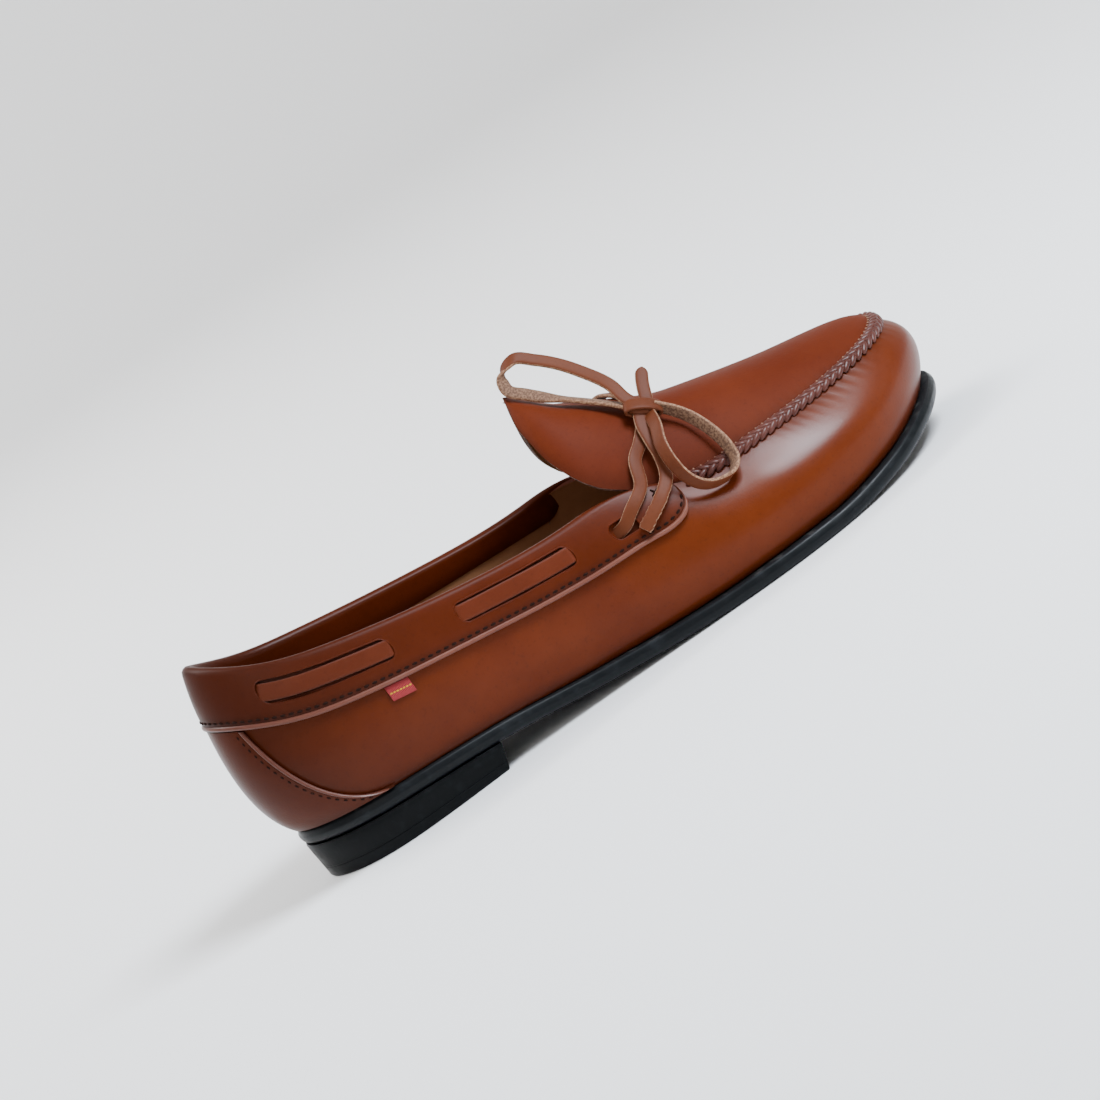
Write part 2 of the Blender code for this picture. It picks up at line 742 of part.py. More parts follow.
def route_curve(points):
    """Smooth curve through a route's points, for a share from 0 to 1 of its length."""
    points = np.asarray(points, float)
    knots = np.concatenate([[0.0], np.cumsum(np.linalg.norm(np.diff(points, axis=0), axis=1))])
    slope = np.gradient(points, knots, axis=0)

    def curve(share):
        at = np.clip(np.asarray(share, float), 0, 1) * knots[-1]
        i = np.clip(np.searchsorted(knots, at) - 1, 0, len(knots) - 2)
        step = (knots[i + 1] - knots[i])[..., None]
        c = ((at - knots[i])[..., None]) / step
        start = (1 + 2 * c) * (1 - c) ** 2 * points[i] + c * (1 - c) ** 2 * step * slope[i]
        end = c**2 * (3 - 2 * c) * points[i + 1] + c**2 * (c - 1) * step * slope[i + 1]
        return start + end

    return curve, knots[-1]


def build_lace_front():
    """Flat lace from one exit hole under the knot to the other."""
    places, faces = lace_front_rows()
    middle, _ = route_curve(places)
    heading, _ = route_curve(faces)
    corners = np.array([(-1, 0), (1, 0), (1, 1), (-1, 1)])

    def point(along, index):
        run = unit(middle(np.minimum(along + 0.01, 1)) - middle(np.maximum(along - 0.01, 0)))
        face = heading(along)
        face = unit(face - run * (face * run).sum(axis=-1, keepdims=True))
        side = np.cross(face, run)
        across, up = corners[index].T
        return middle(along) + side * (across * LACE_WIDTH / 2)[:, None] + face * (up * LACE_THICK)[:, None]

    return swept_solid("lace_front", "lace_leather", point, 40, len(corners))


def build_lace_knot():
    """Flattened round knot over the front run."""
    run, face = unit(np.array(KNOT_RUN)), np.array(KNOT_FACE)
    face = unit(face - run * face.dot(run))
    axes = np.array([run, np.cross(face, run), face])
    bm = bmesh.new()
    bmesh.ops.create_uvsphere(bm, u_segments=12, v_segments=8, radius=1.0)
    for vert in bm.verts:
        vert.co = metres((np.array(vert.co) * KNOT_HALF) @ axes + KNOT_PLACE)
    return add_object("lace_knot", bm, "lace_leather")


def build_cord(name, route):
    """Round stand-in for a free stretch of the lace."""
    curve, length = route_curve(route)
    places = curve(np.linspace(0, 1, int(np.ceil(length / CORD_STEP)) + 1))
    data = bpy.data.curves.new(name, "CURVE")
    data.dimensions = "3D"
    data.bevel_depth = CORD_RADIUS * MM
    data.bevel_resolution = 2
    data.use_fill_caps = True
    spline = data.splines.new("POLY")
    spline.points.add(len(places) - 1)
    for point, place in zip(spline.points, places):
        point.co = (*metres(place), 1.0)
    data.materials.append(make_material("lace_leather"))
    piece = bpy.data.objects.new(name, data)
    bpy.context.scene.collection.objects.link(piece)
    return piece


def build_bow():
    """Knot, two loops and two ends of the lace."""
    build_lace_knot()
    build_cord("lace_loop_far", FAR_LOOP)
    build_cord("lace_loop_near", NEAR_LOOP)
    build_cord("lace_end_short", SHORT_END)
    build_cord("lace_end_long", LONG_END)


def build_side_tab():
    """Small woven tab under the band on the outer side."""
    drop = BAND_HEIGHT + 2 * GAP + TAB_HEIGHT / 2
    wall_strip(
        "side_tab", "tab_fabric", TAB_PLACE, TAB_PLACE + TAB_LENGTH, drop, TAB_HEIGHT, TAB_THICK, 3
    )


def main():
    """Clear the scene and build every piece of the shoe."""
    for old in list(bpy.data.objects):
        bpy.data.objects.remove(old, do_unlink=True)
    build_outsole()
    build_heel()
    build_insole()
    build_upper()
    build_apron()
    build_apron_seam()
    build_collar_band()
    build_heel_counter()
    build_lace_bars()
    build_lace_front()
    build_bow()
    build_side_tab()


main()
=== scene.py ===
"""Dressed right-foot bow moccasin loafer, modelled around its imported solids.

Tables and surface functions work in millimetres in the last's own frame: +X to the toe, -Y to the
foot's outer side, +Z up, floor at zero. Finished meshes are in metres in the frame of the part.
"""

import logging
import math
from dataclasses import dataclass, field
from enum import Enum
from typing import Callable, Iterable, Sequence

import bmesh
import bpy
import numpy as np
from mathutils import Matrix, Vector


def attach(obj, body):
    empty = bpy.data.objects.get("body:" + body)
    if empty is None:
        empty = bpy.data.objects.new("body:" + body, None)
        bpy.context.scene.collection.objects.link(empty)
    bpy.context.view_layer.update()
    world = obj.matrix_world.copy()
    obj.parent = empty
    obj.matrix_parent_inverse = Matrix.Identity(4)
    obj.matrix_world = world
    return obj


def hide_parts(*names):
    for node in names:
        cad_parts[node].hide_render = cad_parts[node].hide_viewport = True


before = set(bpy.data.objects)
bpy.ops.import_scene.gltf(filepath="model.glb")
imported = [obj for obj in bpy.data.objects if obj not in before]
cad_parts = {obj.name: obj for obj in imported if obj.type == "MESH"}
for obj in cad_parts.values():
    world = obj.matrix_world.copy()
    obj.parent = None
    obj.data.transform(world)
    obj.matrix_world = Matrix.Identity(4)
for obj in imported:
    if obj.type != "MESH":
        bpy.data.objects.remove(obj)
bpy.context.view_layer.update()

logging.basicConfig(level=logging.INFO, format="%(message)s")
LOG = logging.getLogger("loafer")

MM = 0.001
WELD = 0.000004
BODY = "root"
CENTRE = np.array([-2.33, -2.08, 0.0])
STITCH_FACETS = 6
PUCKER_PITCH = 4.4

Array = np.ndarray
Mesh = bmesh.types.BMesh
Socket = bpy.types.NodeSocket
Colour = tuple[float, float, float]
Triple = tuple[float, float, float]
Span = tuple[float, float]
Curve = Callable[[Array], Array]
Place = Callable[[Array, Array], Array]


class Side(Enum):
    """Which side of the foot a piece lies on, as the sign of its place on the foot line."""

    OUTER = 1
    INNER = -1


class Surface(Enum):
    """Surface that a row of the lace's run is measured on."""

    WALL = "wall"
    APRON = "apron"


@dataclass(frozen=True)
class Rib:
    """One rib of the wall: its foot on the sole, the reach of its belly and its top."""

    name: str
    foot_x: float
    foot_y: float
    belly_out: float
    belly_rise: float
    top_x: float
    top_y: float
    top_z: float


@dataclass(frozen=True)
class Window:
    """Pill-shaped opening of the collar band, measured along the foot line from the heel."""

    name: str
    start: float
    end: float
    drop: float
    half_height: float
    has_bar: bool


@dataclass(frozen=True)
class LaceRow:
    """One place of the lace's run on the wall (place, drop) or the apron (q, s), with its lift."""

    surface: Surface
    along: float
    across: float
    lift: float


RIBS = (
    Rib("heel_back", -141, 0, 7.5, 25, -141.5, 1, 88),
    Rib("heel_corner_l", -127, -23, 4.5, 22, -125.5, -20.5, 79),
    Rib("heel_l", -100, -31, 3.0, 20, -100, -28.5, 70.5),
    Rib("waist_l", -50, -33, 4.0, 20, -50, -33, 60),
    Rib("shank_l", -5, -38.5, 4.5, 19, -9, -35.5, 55.5),
    Rib("throat_l", 23, -43.5, 4.0, 18, 17, -36, 52),
    Rib("vamp_l", 40, -46.3, 3.8, 17, 34, -37, 44.5),
    Rib("ball_l", 62, -47, 3.8, 17, 56, -37.5, 42),
    Rib("toe_l", 98, -39.5, 4.2, 16, 90, -32.5, 41),
    Rib("toe_corner_l", 126, -21, 5.0, 15, 123.5, -20, 42),
    Rib("toe_tip", 139, 6, 6.5, 15, 136.5, 5, 43.5),
    Rib("toe_corner_m", 128, 27, 5.0, 15, 125, 23.5, 43),
    Rib("toe_m", 104, 39, 4.5, 16, 95, 32.5, 42.5),
    Rib("ball_m", 70, 42.5, 4.5, 17, 62, 33, 44.5),
    Rib("vamp_m", 46, 40, 4.5, 18, 39, 32.5, 47.5),
    Rib("throat_m", 29, 36.5, 5.0, 21, 22, 32, 55),
    Rib("shank_m", 0, 30, 6.0, 25, -5, 31.5, 58.5),
    Rib("waist_m", -48, 27, 5.5, 24, -48, 30, 63),
    Rib("heel_m", -100, 29.5, 3.0, 20, -100, 27.5, 72),
    Rib("heel_corner_m", -127, 22, 4.5, 22, -125.5, 20.5, 79.5),
)

# Underside of the sole from heel to toe, as x and height.
SOLE_LINE = (
    (-150, 15.0), (-110, 13.0), (-74, 10.0), (-30, 4.0), (5, 0.8),
    (28, 0.0), (68, 0.0), (98, 2.6), (125, 7.4), (150, 12.5),
)

# Rise of the apron's ridge above the chord between its seams, rib by rib.
CROWN = (
    ("toe_tip", 0.0), ("toe_corner_l", 9.0), ("toe_l", 17.0),
    ("ball_l", 24.5), ("vamp_l", 31.5), ("throat_l", 33.5),
)

# Outer edge, inner edge and ridge of the free tongue flap, row by row to its tip.
FLAP = (
    (7, -33, 60.5, 14, 30.5, 63, 15, -1, 91),
    (2, -28.5, 69, 9.5, 27, 71, 11.5, 0, 94.4),
    (-0.5, -21.5, 79, 7.5, 21.5, 80.5, 8.8, 1, 97),
    (0, -12.5, 89, 6.8, 14.5, 90.5, 6.8, 1.5, 98.8),
    (2.4, -5.5, 95.4, 6.2, 8.5, 96, 5.8, 1.5, 99.6),
    (5, 1.5, 100.2, 5, 1.5, 100.2, 5, 1.5, 100.2),
)

# Soft dents of the wall: place, drop below its top, reach along and down, and height.
DENTS = (
    (206.0, 7.0, 8.0, 4.5, -0.26), (214.0, 12.0, 7.0, 5.5, 0.2), (222.0, 6.0, 7.0, 4.5, -0.22),
    (198.0, 14.0, 10.0, 6.0, -0.2), (240.0, 16.0, 22.0, 6.0, 0.3), (150.0, 24.0, 30.0, 6.0, -0.35),
    (110.0, 30.0, 26.0, 7.0, 0.3), (-205.0, 8.0, 8.0, 4.0, -0.45), (-160.0, 26.0, 28.0, 7.0, -0.35),
)

WINDOWS = (
    Window("rear", 25, 71.5, 5.9, 3.2, True),
    Window("front", 95, 143, 5.9, 3.2, True),
    Window("exit", 158, 169, 7.8, 2.6, False),
)

# The lace where it comes up out of its exit hole, as place, drop and lift.
LACE_EXIT = ((158.4, 8.0, -2.4), (161.2, 8.0, -0.9), (164.4, 7.5, 0.9))

# The lace's run over the instep between its two exits.
LACE_FRONT = (
    LaceRow(Surface.WALL, 169, 5.5, 2.4),
    LaceRow(Surface.WALL, 179, 0.6, 2.9),
    LaceRow(Surface.APRON, 0.96, -0.88, 1.9),
    LaceRow(Surface.APRON, 0.92, -0.79, 0.8),
    LaceRow(Surface.APRON, 0.88, -0.66, 0.4),
    LaceRow(Surface.APRON, 0.855, -0.5, 0.4),
    LaceRow(Surface.APRON, 0.85, -0.25, 0.4),
    LaceRow(Surface.APRON, 0.86, 0, 0.4),
    LaceRow(Surface.APRON, 0.875, 0.3, 0.4),
    LaceRow(Surface.APRON, 0.9, 0.58, 0.5),
    LaceRow(Surface.APRON, 0.93, 0.78, 0.9),
    LaceRow(Surface.APRON, 0.96, 0.88, 1.9),
    LaceRow(Surface.WALL, -184, 0.6, 2.9),
    LaceRow(Surface.WALL, -174, 5.5, 2.4),
)

# Routes of the bow's loops and ends.
FAR_LOOP = (
    (35.9, -22.4, 77.6), (35.2, -17.5, 84.2), (31.2, -10.5, 92.8), (26.8, -5.5, 99.4),
    (21.6, -2.0, 104.8), (15.6, 0.0, 109.2), (11.8, 0.4, 108.5), (8.2, -0.4, 105.6),
    (7.2, -2.2, 102.0), (11.2, -5.4, 97.2), (16.6, -8.4, 91.9), (22.8, -11.9, 86.6),
    (28.0, -15.6, 82.0), (32.6, -19.4, 77.6),
)
NEAR_LOOP = (
    (45.9, -27.7, 66.0), (48.4, -30.0, 62.2), (50.2, -33.6, 57.6), (51.4, -37.4, 52.2),
    (51.6, -41.0, 46.6), (50.2, -44.0, 41.6), (46.0, -45.8, 39.0), (41.0, -46.0, 39.2),
    (36.0, -46.0, 41.4), (32.1, -46.1, 46.6), (30.7, -44.9, 53.6), (31.9, -41.2, 60.8),
    (35.7, -35.6, 66.6),
)
SHORT_END = (
    (41.9, -22.2, 73.6), (44.2, -19.4, 77.0), (46.4, -17.2, 79.8), (48.8, -15.4, 82.2),
)
LONG_END = (
    (33.6, -29.2, 68.8), (31.7, -33.7, 63.0), (30.3, -37.4, 56.9), (27.3, -41.0, 51.2),
    (20.5, -44.8, 47.0), (13.7, -46.0, 43.8), (9.0, -45.9, 41.4),
)


def unit(vectors: Array) -> Array:
    """Vectors scaled to length one."""
    return vectors / np.maximum(np.linalg.norm(vectors, axis=-1, keepdims=True), 1e-9)


def bell(distance: Array, width: float) -> Array:
    """Smooth bump of height one that fades over width."""
    return np.exp(-((np.asarray(distance, float) / width) ** 2))


def smooth_step(low: float, high: float, value: Array) -> Array:
    """Smooth change from 0 at low to 1 at high."""
    share = np.clip((np.asarray(value, float) - low) / (high - low), 0, 1)
    return share * share * (3 - 2 * share)


def pucker_wave(from_toe: Array) -> Array:
    """Uneven wave of the puckers that the seam draws into the leather beside it."""
    return np.sin(2 * np.pi * from_toe / PUCKER_PITCH + 1.1 * np.sin(from_toe / 13.0))


def ring_index(turn: Array, count: int) -> Array:
    """Number of the point that lies at a share of the way around a ring of count points."""
    return np.rint(turn * count).astype(int) % count


def ease(c: Array, step: Array, ends: tuple[Array, Array], slopes: tuple[Array, Array]) -> Array:
    """Value at share c of a way of length step, with given values and slopes at both its ends."""
    start = (1 + 2 * c) * (1 - c) ** 2 * ends[0] + c * (1 - c) ** 2 * step * slopes[0]
    return start + (c**2 * (3 - 2 * c) * ends[1] + c**2 * (c - 1) * step * slopes[1])


def loop_spline(knots: Array, values: Array, period: float) -> Curve:
    """Smooth periodic curve through values at knots.

    Args:
        knots: rising places within one period.
        values: value at each knot.
        period: length after which the curve repeats.

    Returns:
        Function of a place or an array of places.
    """
    count = len(knots)
    step = np.diff(np.append(knots, knots[0] + period))
    matrix = np.zeros((count, count))
    right = np.zeros(count)
    for i in range(count):
        before, after = (i - 1) % count, (i + 1) % count
        matrix[i, before] += step[before]
        matrix[i, i] += 2 * (step[before] + step[i])
        matrix[i, after] += step[i]
        rise = (values[after] - values[i]) / step[i]
        right[i] = 6 * (rise - (values[i] - values[before]) / step[before])
    bend = np.linalg.solve(matrix, right)

    def curve(at: Array) -> Array:
        """Value of the curve at a place."""
        at = np.mod(np.asarray(at, float) - knots[0], period) + knots[0]
        i = np.clip(np.searchsorted(knots, at, side="right") - 1, 0, count - 1)
        after = (i + 1) % count
        c = (at - knots[i]) / step[i]
        a = 1 - c
        swing = ((a**3 - a) * bend[i] + (c**3 - c) * bend[after]) * step[i] ** 2 / 6
        return a * values[i] + c * values[after] + swing

    return curve


def steady_spline(knots: Sequence[float], values: Sequence[float]) -> Curve:
    """Smooth curve through values at knots that never swings past them.

    Args:
        knots: rising places.
        values: value at each knot.

    Returns:
        Function of a place, flat beyond the first and last knot.
    """
    at_knots, heights = np.asarray(knots, float), np.asarray(values, float)
    step = np.diff(at_knots)
    rise = np.diff(heights) / step
    slope = np.zeros(len(at_knots))
    slope[0], slope[-1] = rise[0], rise[-1]
    for i in range(1, len(at_knots) - 1):
        if rise[i - 1] * rise[i] > 0:
            heavy, light = 2 * step[i] + step[i - 1], step[i] + 2 * step[i - 1]
            slope[i] = (heavy + light) / (heavy / rise[i - 1] + light / rise[i])

    def curve(at: Array) -> Array:
        """Value of the curve at a place."""
        at = np.clip(np.asarray(at, float), at_knots[0], at_knots[-1])
        i = np.clip(np.searchsorted(at_knots, at) - 1, 0, len(step) - 1)
        share = (at - at_knots[i]) / step[i]
        return ease(share, step[i], (heights[i], heights[i + 1]), (slope[i], slope[i + 1]))

    return curve


def route_curve(points: Iterable[Sequence[float]]) -> Curve:
    """Smooth curve through a route's points.

    Args:
        points: places in order.

    Returns:
        Function of a share from 0 to 1 of the route.
    """
    table = np.asarray(list(points), float)
    knots = np.concatenate([[0.0], np.cumsum(np.linalg.norm(np.diff(table, axis=0), axis=1))])
    slope = np.gradient(table, knots, axis=0)

    def curve(share: Array) -> Array:
        """Place on the route at a share of its length."""
        at = np.clip(np.asarray(share, float), 0, 1) * knots[-1]
        i = np.clip(np.searchsorted(knots, at) - 1, 0, len(knots) - 2)
        step = (knots[i + 1] - knots[i])[..., None]
        part = (at - knots[i])[..., None] / step
        return ease(part, step, (table[i], table[i + 1]), (slope[i], slope[i + 1]))

    return curve


@dataclass
class LastForm:
    """Shape of the shoe as functions: wall, apron, seam and band lines."""

    gap: float = 0.3
    sole_edge: float = 6.0
    wall_thick: float = 2.0
    apron_thick: float = 1.8
    fullness_toe: float = 2.1
    fullness_throat: float = 2.8
    seam_seat: float = 0.75
    band_height: float = 15.0
    band_end_run: float = 18.0
    band_short: float = 7.0
    band_end_height: float = 2.5
    probe_u: float = 0.5
    probe_v: float = 0.01
    probe_q: float = 0.02

    def __post_init__(self) -> None:
        """Works out the splines that the tables stand for."""
        fields = [name for name in Rib.__dataclass_fields__ if name != "name"]
        table = np.array([[getattr(rib, name) for name in fields] for rib in RIBS], float)
        steps = np.linalg.norm(np.roll(table[:, :2], -1, axis=0) - table[:, :2], axis=1)
        self.places = np.concatenate([[0.0], np.cumsum(steps)[:-1]])
        self.girth = float(steps.sum())
        self.column = {
            name: loop_spline(self.places, table[:, i], self.girth) for i, name in enumerate(fields)
        }
        self.sole_under = steady_spline(*zip(*SOLE_LINE))
        self.throat_l, self.throat_m = self.place_of("throat_l"), self.place_of("throat_m")
        self.vamp_l, self.vamp_m = self.place_of("vamp_l"), self.place_of("vamp_m")
        self.toe_tip = self.place_of("toe_tip")
        span = self.toe_tip - self.throat_l
        self.crown_rise = steady_spline(
            [(self.toe_tip - self.place_of(name)) / span for name, _ in CROWN],
            [rise for _, rise in CROWN],
        )
        throat_l, throat_m = self.seam_edge(self.throat_l), self.seam_edge(self.throat_m)
        ridge = (throat_l + throat_m) / 2 + np.array([0, 0, CROWN[-1][1]])
        rows = np.vstack([np.concatenate([throat_l, throat_m, ridge]), np.array(FLAP, float)])
        at = np.linspace(1, 2, len(rows))
        self.flap = [steady_spline(at, rows[:, i]) for i in range(rows.shape[1])]

    def place_of(self, name: str) -> float:
        """Place of a named rib on the foot line."""
        return float(self.places[[rib.name for rib in RIBS].index(name)])

    def outward(self, u: Array) -> Array:
        """Level direction away from the foot."""
        foot = (self.column["foot_x"], self.column["foot_y"])
        run_x, run_y = (line(u + self.probe_u) - line(u - self.probe_u) for line in foot)
        return unit(np.stack([run_y, -run_x, np.zeros_like(run_x)], axis=-1))

    def foot_line(self, u: Array, offset: Array) -> Array:
        """Line on the sole's upper face below the wall.

        Args:
            u: places on the foot line.
            offset: how far the line moves outward.

        Returns:
            Places in millimetres.
        """
        u = np.asarray(u, float)
        point = np.stack([self.column["foot_x"](u), self.column["foot_y"](u), 0 * u], axis=-1)
        point = point + self.outward(u) * np.asarray(offset, float)[..., None]
        point[..., 2] = self.sole_under(point[..., 0]) + self.sole_edge
        return point

    def wall(self, u: Array, v: Array) -> Array:
        """Outer face of the upper.

        Args:
            u: places on the foot line.
            v: 0 at the sole, 1 at the top.

        Returns:
            Places in millimetres.
        """
        u, v = np.broadcast_arrays(np.asarray(u, float), np.asarray(v, float))
        foot = self.foot_line(u, np.zeros_like(u))
        foot[..., 2] += self.gap
        top = np.stack([self.column[name](u) for name in ("top_x", "top_y", "top_z")], axis=-1)
        belly = foot + self.outward(u) * self.column["belly_out"](u)[..., None]
        belly[..., 2] += self.column["belly_rise"](u)
        handle = 2 * belly - (foot + top) / 2
        share = v[..., None]
        return (1 - share) ** 2 * foot + 2 * share * (1 - share) * handle + share**2 * top

    def wall_run(self, u: Array, v: Array) -> Array:
        """Way along the wall at rising places, not scaled."""
        return self.wall(u + self.probe_u, v) - self.wall(u - self.probe_u, v)

    def wall_normal(self, u: Array, v: Array) -> Array:
        """Direction out of the upper's outer face."""
        up = self.wall(u, v + self.probe_v) - self.wall(u, v - self.probe_v)
        return unit(np.cross(self.wall_run(u, v), up))

    def skin(self, u: Array, v: Array, lift: Array) -> Array:
        """Point of the wall moved out by lift."""
        return self.wall(u, v) + self.wall_normal(u, v) * np.asarray(lift, float)[..., None]

    def rib_length(self, u: Array) -> Array:
        """Length of the wall's rib at u, from sole to top."""
        marks = self.wall(np.asarray(u, float)[..., None], np.linspace(0, 1, 9))
        return np.linalg.norm(np.diff(marks, axis=-2), axis=-1).sum(axis=-1)

    def below_top(self, u: Array, drop: Array) -> Array:
        """Share v that lies drop below the top of the wall."""
        return 1 - np.asarray(drop, float) / self.rib_length(u)

    def on_band(self, u: Array, drop: Array, lift: Array) -> Array:
        """Point at a drop below the topline, moved out by lift."""
        return self.skin(u, self.below_top(u, drop), lift)

    def band_normal(self, u: Array, drop: Array) -> Array:
        """Direction out of the wall at a drop below the topline."""
        return self.wall_normal(u, self.below_top(u, drop))

    def seam_edge(self, u: Array) -> Array:
        """Edge of the apron, a gap past the top of the wall along the wall's own run."""
        top = self.wall(u, 1.0)
        return top + unit(top - self.wall(u, 1 - self.probe_v)) * self.gap

    def apron(self, q: Array, s: Array) -> Array:
        """Outer face of apron and flap.

        Args:
            q: 0 at the toe, 1 at the throat, 2 at the flap's tip.
            s: -1 at the outer edge, 1 at the inner edge.

        Returns:
            Places in millimetres.
        """
        q, s = np.broadcast_arrays(np.asarray(q, float), np.asarray(s, float))
        seam_q = np.clip(q, 0, 1)
        edge_l = self.seam_edge(self.toe_tip + (self.throat_l - self.toe_tip) * seam_q)
        edge_m = self.seam_edge(self.toe_tip + (self.throat_m - self.toe_tip) * seam_q)
        ridge = (edge_l + edge_m) / 2
        ridge[..., 2] += self.crown_rise(seam_q)
        free = np.stack([curve(q) for curve in self.flap], axis=-1)
        is_free = (q > 1)[..., None]
        edge_l = np.where(is_free, free[..., 0:3], edge_l)
        edge_m = np.where(is_free, free[..., 3:6], edge_m)
        ridge = np.where(is_free, free[..., 6:9], ridge)
        share = s[..., None]
        chord = (1 - share) / 2 * edge_l + (1 + share) / 2 * edge_m
        rise = ridge - (edge_l + edge_m) / 2
        fullness = self.fullness_toe + (self.fullness_throat - self.fullness_toe) * seam_q[..., None]
        return chord + rise * (1 - np.abs(share) ** fullness)

    def apron_normal(self, q: Array, s: Array) -> Array:
        """Direction out of the apron's outer face.

        Args:
            q: 0 at the toe, 1 at the throat, 2 at the flap's tip.
            s: -1 at the outer edge, 1 at the inner edge.

        Returns:
            Directions of length one.
        """
        q, s = np.broadcast_arrays(np.clip(q, 0.06, 1.94), np.clip(s, -0.97, 0.97))
        back = self.apron(q + self.probe_q, s) - self.apron(q - self.probe_q, s)
        across = self.apron(q, s + self.probe_q) - self.apron(q, s - self.probe_q)
        return unit(np.cross(across, back))

    def seam_frame(self, u: Array) -> tuple[Array, Array, Array, Array]:
        """Joint of wall and apron.

        Args:
            u: places on the foot line.

        Returns:
            Middle of the joint, its run, the side towards the apron and the outward face.
        """
        top = np.ones_like(u)
        centre = (self.wall(u, top) + self.seam_edge(u)) / 2
        run = unit(self.wall_run(u, top))
        is_outer = u < self.toe_tip
        throat = np.where(is_outer, self.throat_l, self.throat_m)
        q = (u - self.toe_tip) / (throat - self.toe_tip)
        plug = self.apron_normal(q, np.where(is_outer, -1.0, 1.0))
        face = unit(self.wall_normal(u, top) + plug)
        side = unit(np.cross(face, run))
        return centre, run, side, face

    def band_ends(self) -> Span:
        """Places of the band's inner front end, before the heel, and its outer one, after it."""
        return self.vamp_m - self.girth + self.band_short, self.vamp_l - self.band_short

    def band_drop(self, u: Array) -> Array:
        """Height of the band below the topline, which rounds up to the seam at both front ends.

        Args:
            u: places on the foot line.

        Returns:
            Heights in millimetres.
        """
        start, end = self.band_ends()
        to_end = np.clip(np.minimum(u - start, end - u) / self.band_end_run, 0, 1)
        round_up = np.sqrt(1 - (1 - to_end) ** 2)
        return self.band_end_height + (self.band_height - self.band_end_height) * round_up

    def band_places(self, middle_count: int, turn_count: int) -> Array:
        """Places along the band that come closer together at its two round ends.

        Args:
            middle_count: places on the band's straight stretch.
            turn_count: places on each round end.

        Returns:
            Rising places on the foot line.
        """
        start, end = self.band_ends()
        turn = self.band_end_run * (1 - np.cos(np.linspace(0, np.pi / 2, turn_count)))
        middle = np.linspace(start + self.band_end_run, end - self.band_end_run, middle_count)
        return np.concatenate([start + turn[:-1], middle, (end - turn[:-1])[::-1]])


FORM = LastForm()


def metres(places: Array) -> Array:
    """Places of the last's frame in the part's own frame and unit."""
    return (np.asarray(places, float) - CENTRE) * MM


def even_places(line: Curve, start: float, end: float, pitch: float) -> Array:
    """Parameters of points that follow one another at an even pitch along a line.

    Args:
        line: function from a parameter to places in millimetres.
        start: first parameter.
        end: last parameter.
        pitch: distance between points in millimetres.

    Returns:
        Parameters, the first and last half a pitch or less from the line's ends.
    """
    fine = np.linspace(start, end, 1200)
    steps = np.linalg.norm(np.diff(line(fine), axis=0), axis=1)
    length = np.concatenate([[0.0], np.cumsum(steps)])
    count = max(2, int(round(length[-1] / pitch)))
    return np.interp((np.arange(count) + 0.5) / count * length[-1], length, fine)


def grid_mesh(columns: int, rows: int, place: Place, marks: dict[str, Place] | None = None,
              fill: bool = True) -> Mesh:
    """Mesh of a grid whose points are moved to a surface.

    Args:
        columns: facets along the first parameter.
        rows: facets along the second parameter.
        place: function from both parameters, each 0 to 1, to places in millimetres.
        marks: values to keep on the points, by attribute name.
        fill: whether open ends are filled.

    Returns:
        The mesh, with points that meet merged.
    """
    bm = bmesh.new()
    bmesh.ops.create_grid(bm, x_segments=columns, y_segments=rows, size=0.5)
    for name in marks or {}:
        bm.verts.layers.float.new(name)
    verts = list(bm.verts)
    table = np.array([vert.co[:2] for vert in verts]) + 0.5
    along = np.rint(table[:, 0] * columns) / columns
    across = np.rint(table[:, 1] * rows) / rows
    for name, value in (marks or {}).items():
        layer = bm.verts.layers.float[name]
        for vert, amount in zip(verts, value(along, across)):
            vert[layer] = float(amount)
    for vert, spot in zip(verts, metres(place(along, across))):
        vert.co = Vector(spot)
    bmesh.ops.remove_doubles(bm, verts=bm.verts, dist=WELD)
    rims = [edge for edge in bm.edges if edge.is_boundary]
    if fill and rims:
        bmesh.ops.holes_fill(bm, edges=rims, sides=0)
    return bm


def paint_faces(bm: Mesh, mark: str, choose: Callable[[float], int]) -> None:
    """Gives each face the material index that is chosen for the mean of a mark on its points."""
    layer = bm.verts.layers.float[mark]
    for face in bm.faces:
        face.material_index = choose(sum(vert[layer] for vert in face.verts) / len(face.verts))


def face_outward(bm: Mesh) -> None:
    """Turns the faces of closed shells outward."""
    bmesh.ops.recalc_face_normals(bm, faces=bm.faces)
    if bm.calc_volume(signed=True) < 0:
        bmesh.ops.reverse_faces(bm, faces=bm.faces)


def take_in(bm: Mesh, other: Mesh) -> None:
    """Adds another mesh to a mesh.

    Args:
        bm: mesh to add to.
        other: mesh to add, which is freed.
    """
    mesh = bpy.data.meshes.new("added")
    other.to_mesh(mesh)
    other.free()
    bm.from_mesh(mesh)
    bpy.data.meshes.remove(mesh)


def add_bead(bm: Mesh, place: Array, axes: Array, half: Sequence[float], facets: int = STITCH_FACETS) -> None:
    """Adds one rounded bead, such as a stitch, to a mesh.

    Args:
        bm: mesh to add to.
        place: middle of the bead in millimetres.
        axes: its three directions, as rows.
        half: its half sizes along them in millimetres.
        facets: facets around it.
    """
    frame_of = Matrix((np.asarray(axes) * np.asarray(half)[:, None] * MM).T.tolist()).to_4x4()
    frame_of.translation = Vector(metres(place))
    bmesh.ops.create_uvsphere(bm, u_segments=facets, v_segments=facets // 2 + 1, radius=1.0, matrix=frame_of)


def add_stitches(bm: Mesh, spots: Array, runs: Array, faces: Array, half: Sequence[float]) -> None:
    """Adds stitches of one size to a mesh, each along its run on leather that looks along its face."""
    for spot, run, face in zip(spots, runs, faces):
        add_bead(bm, spot, np.array([run, np.cross(face, run), face]), half)


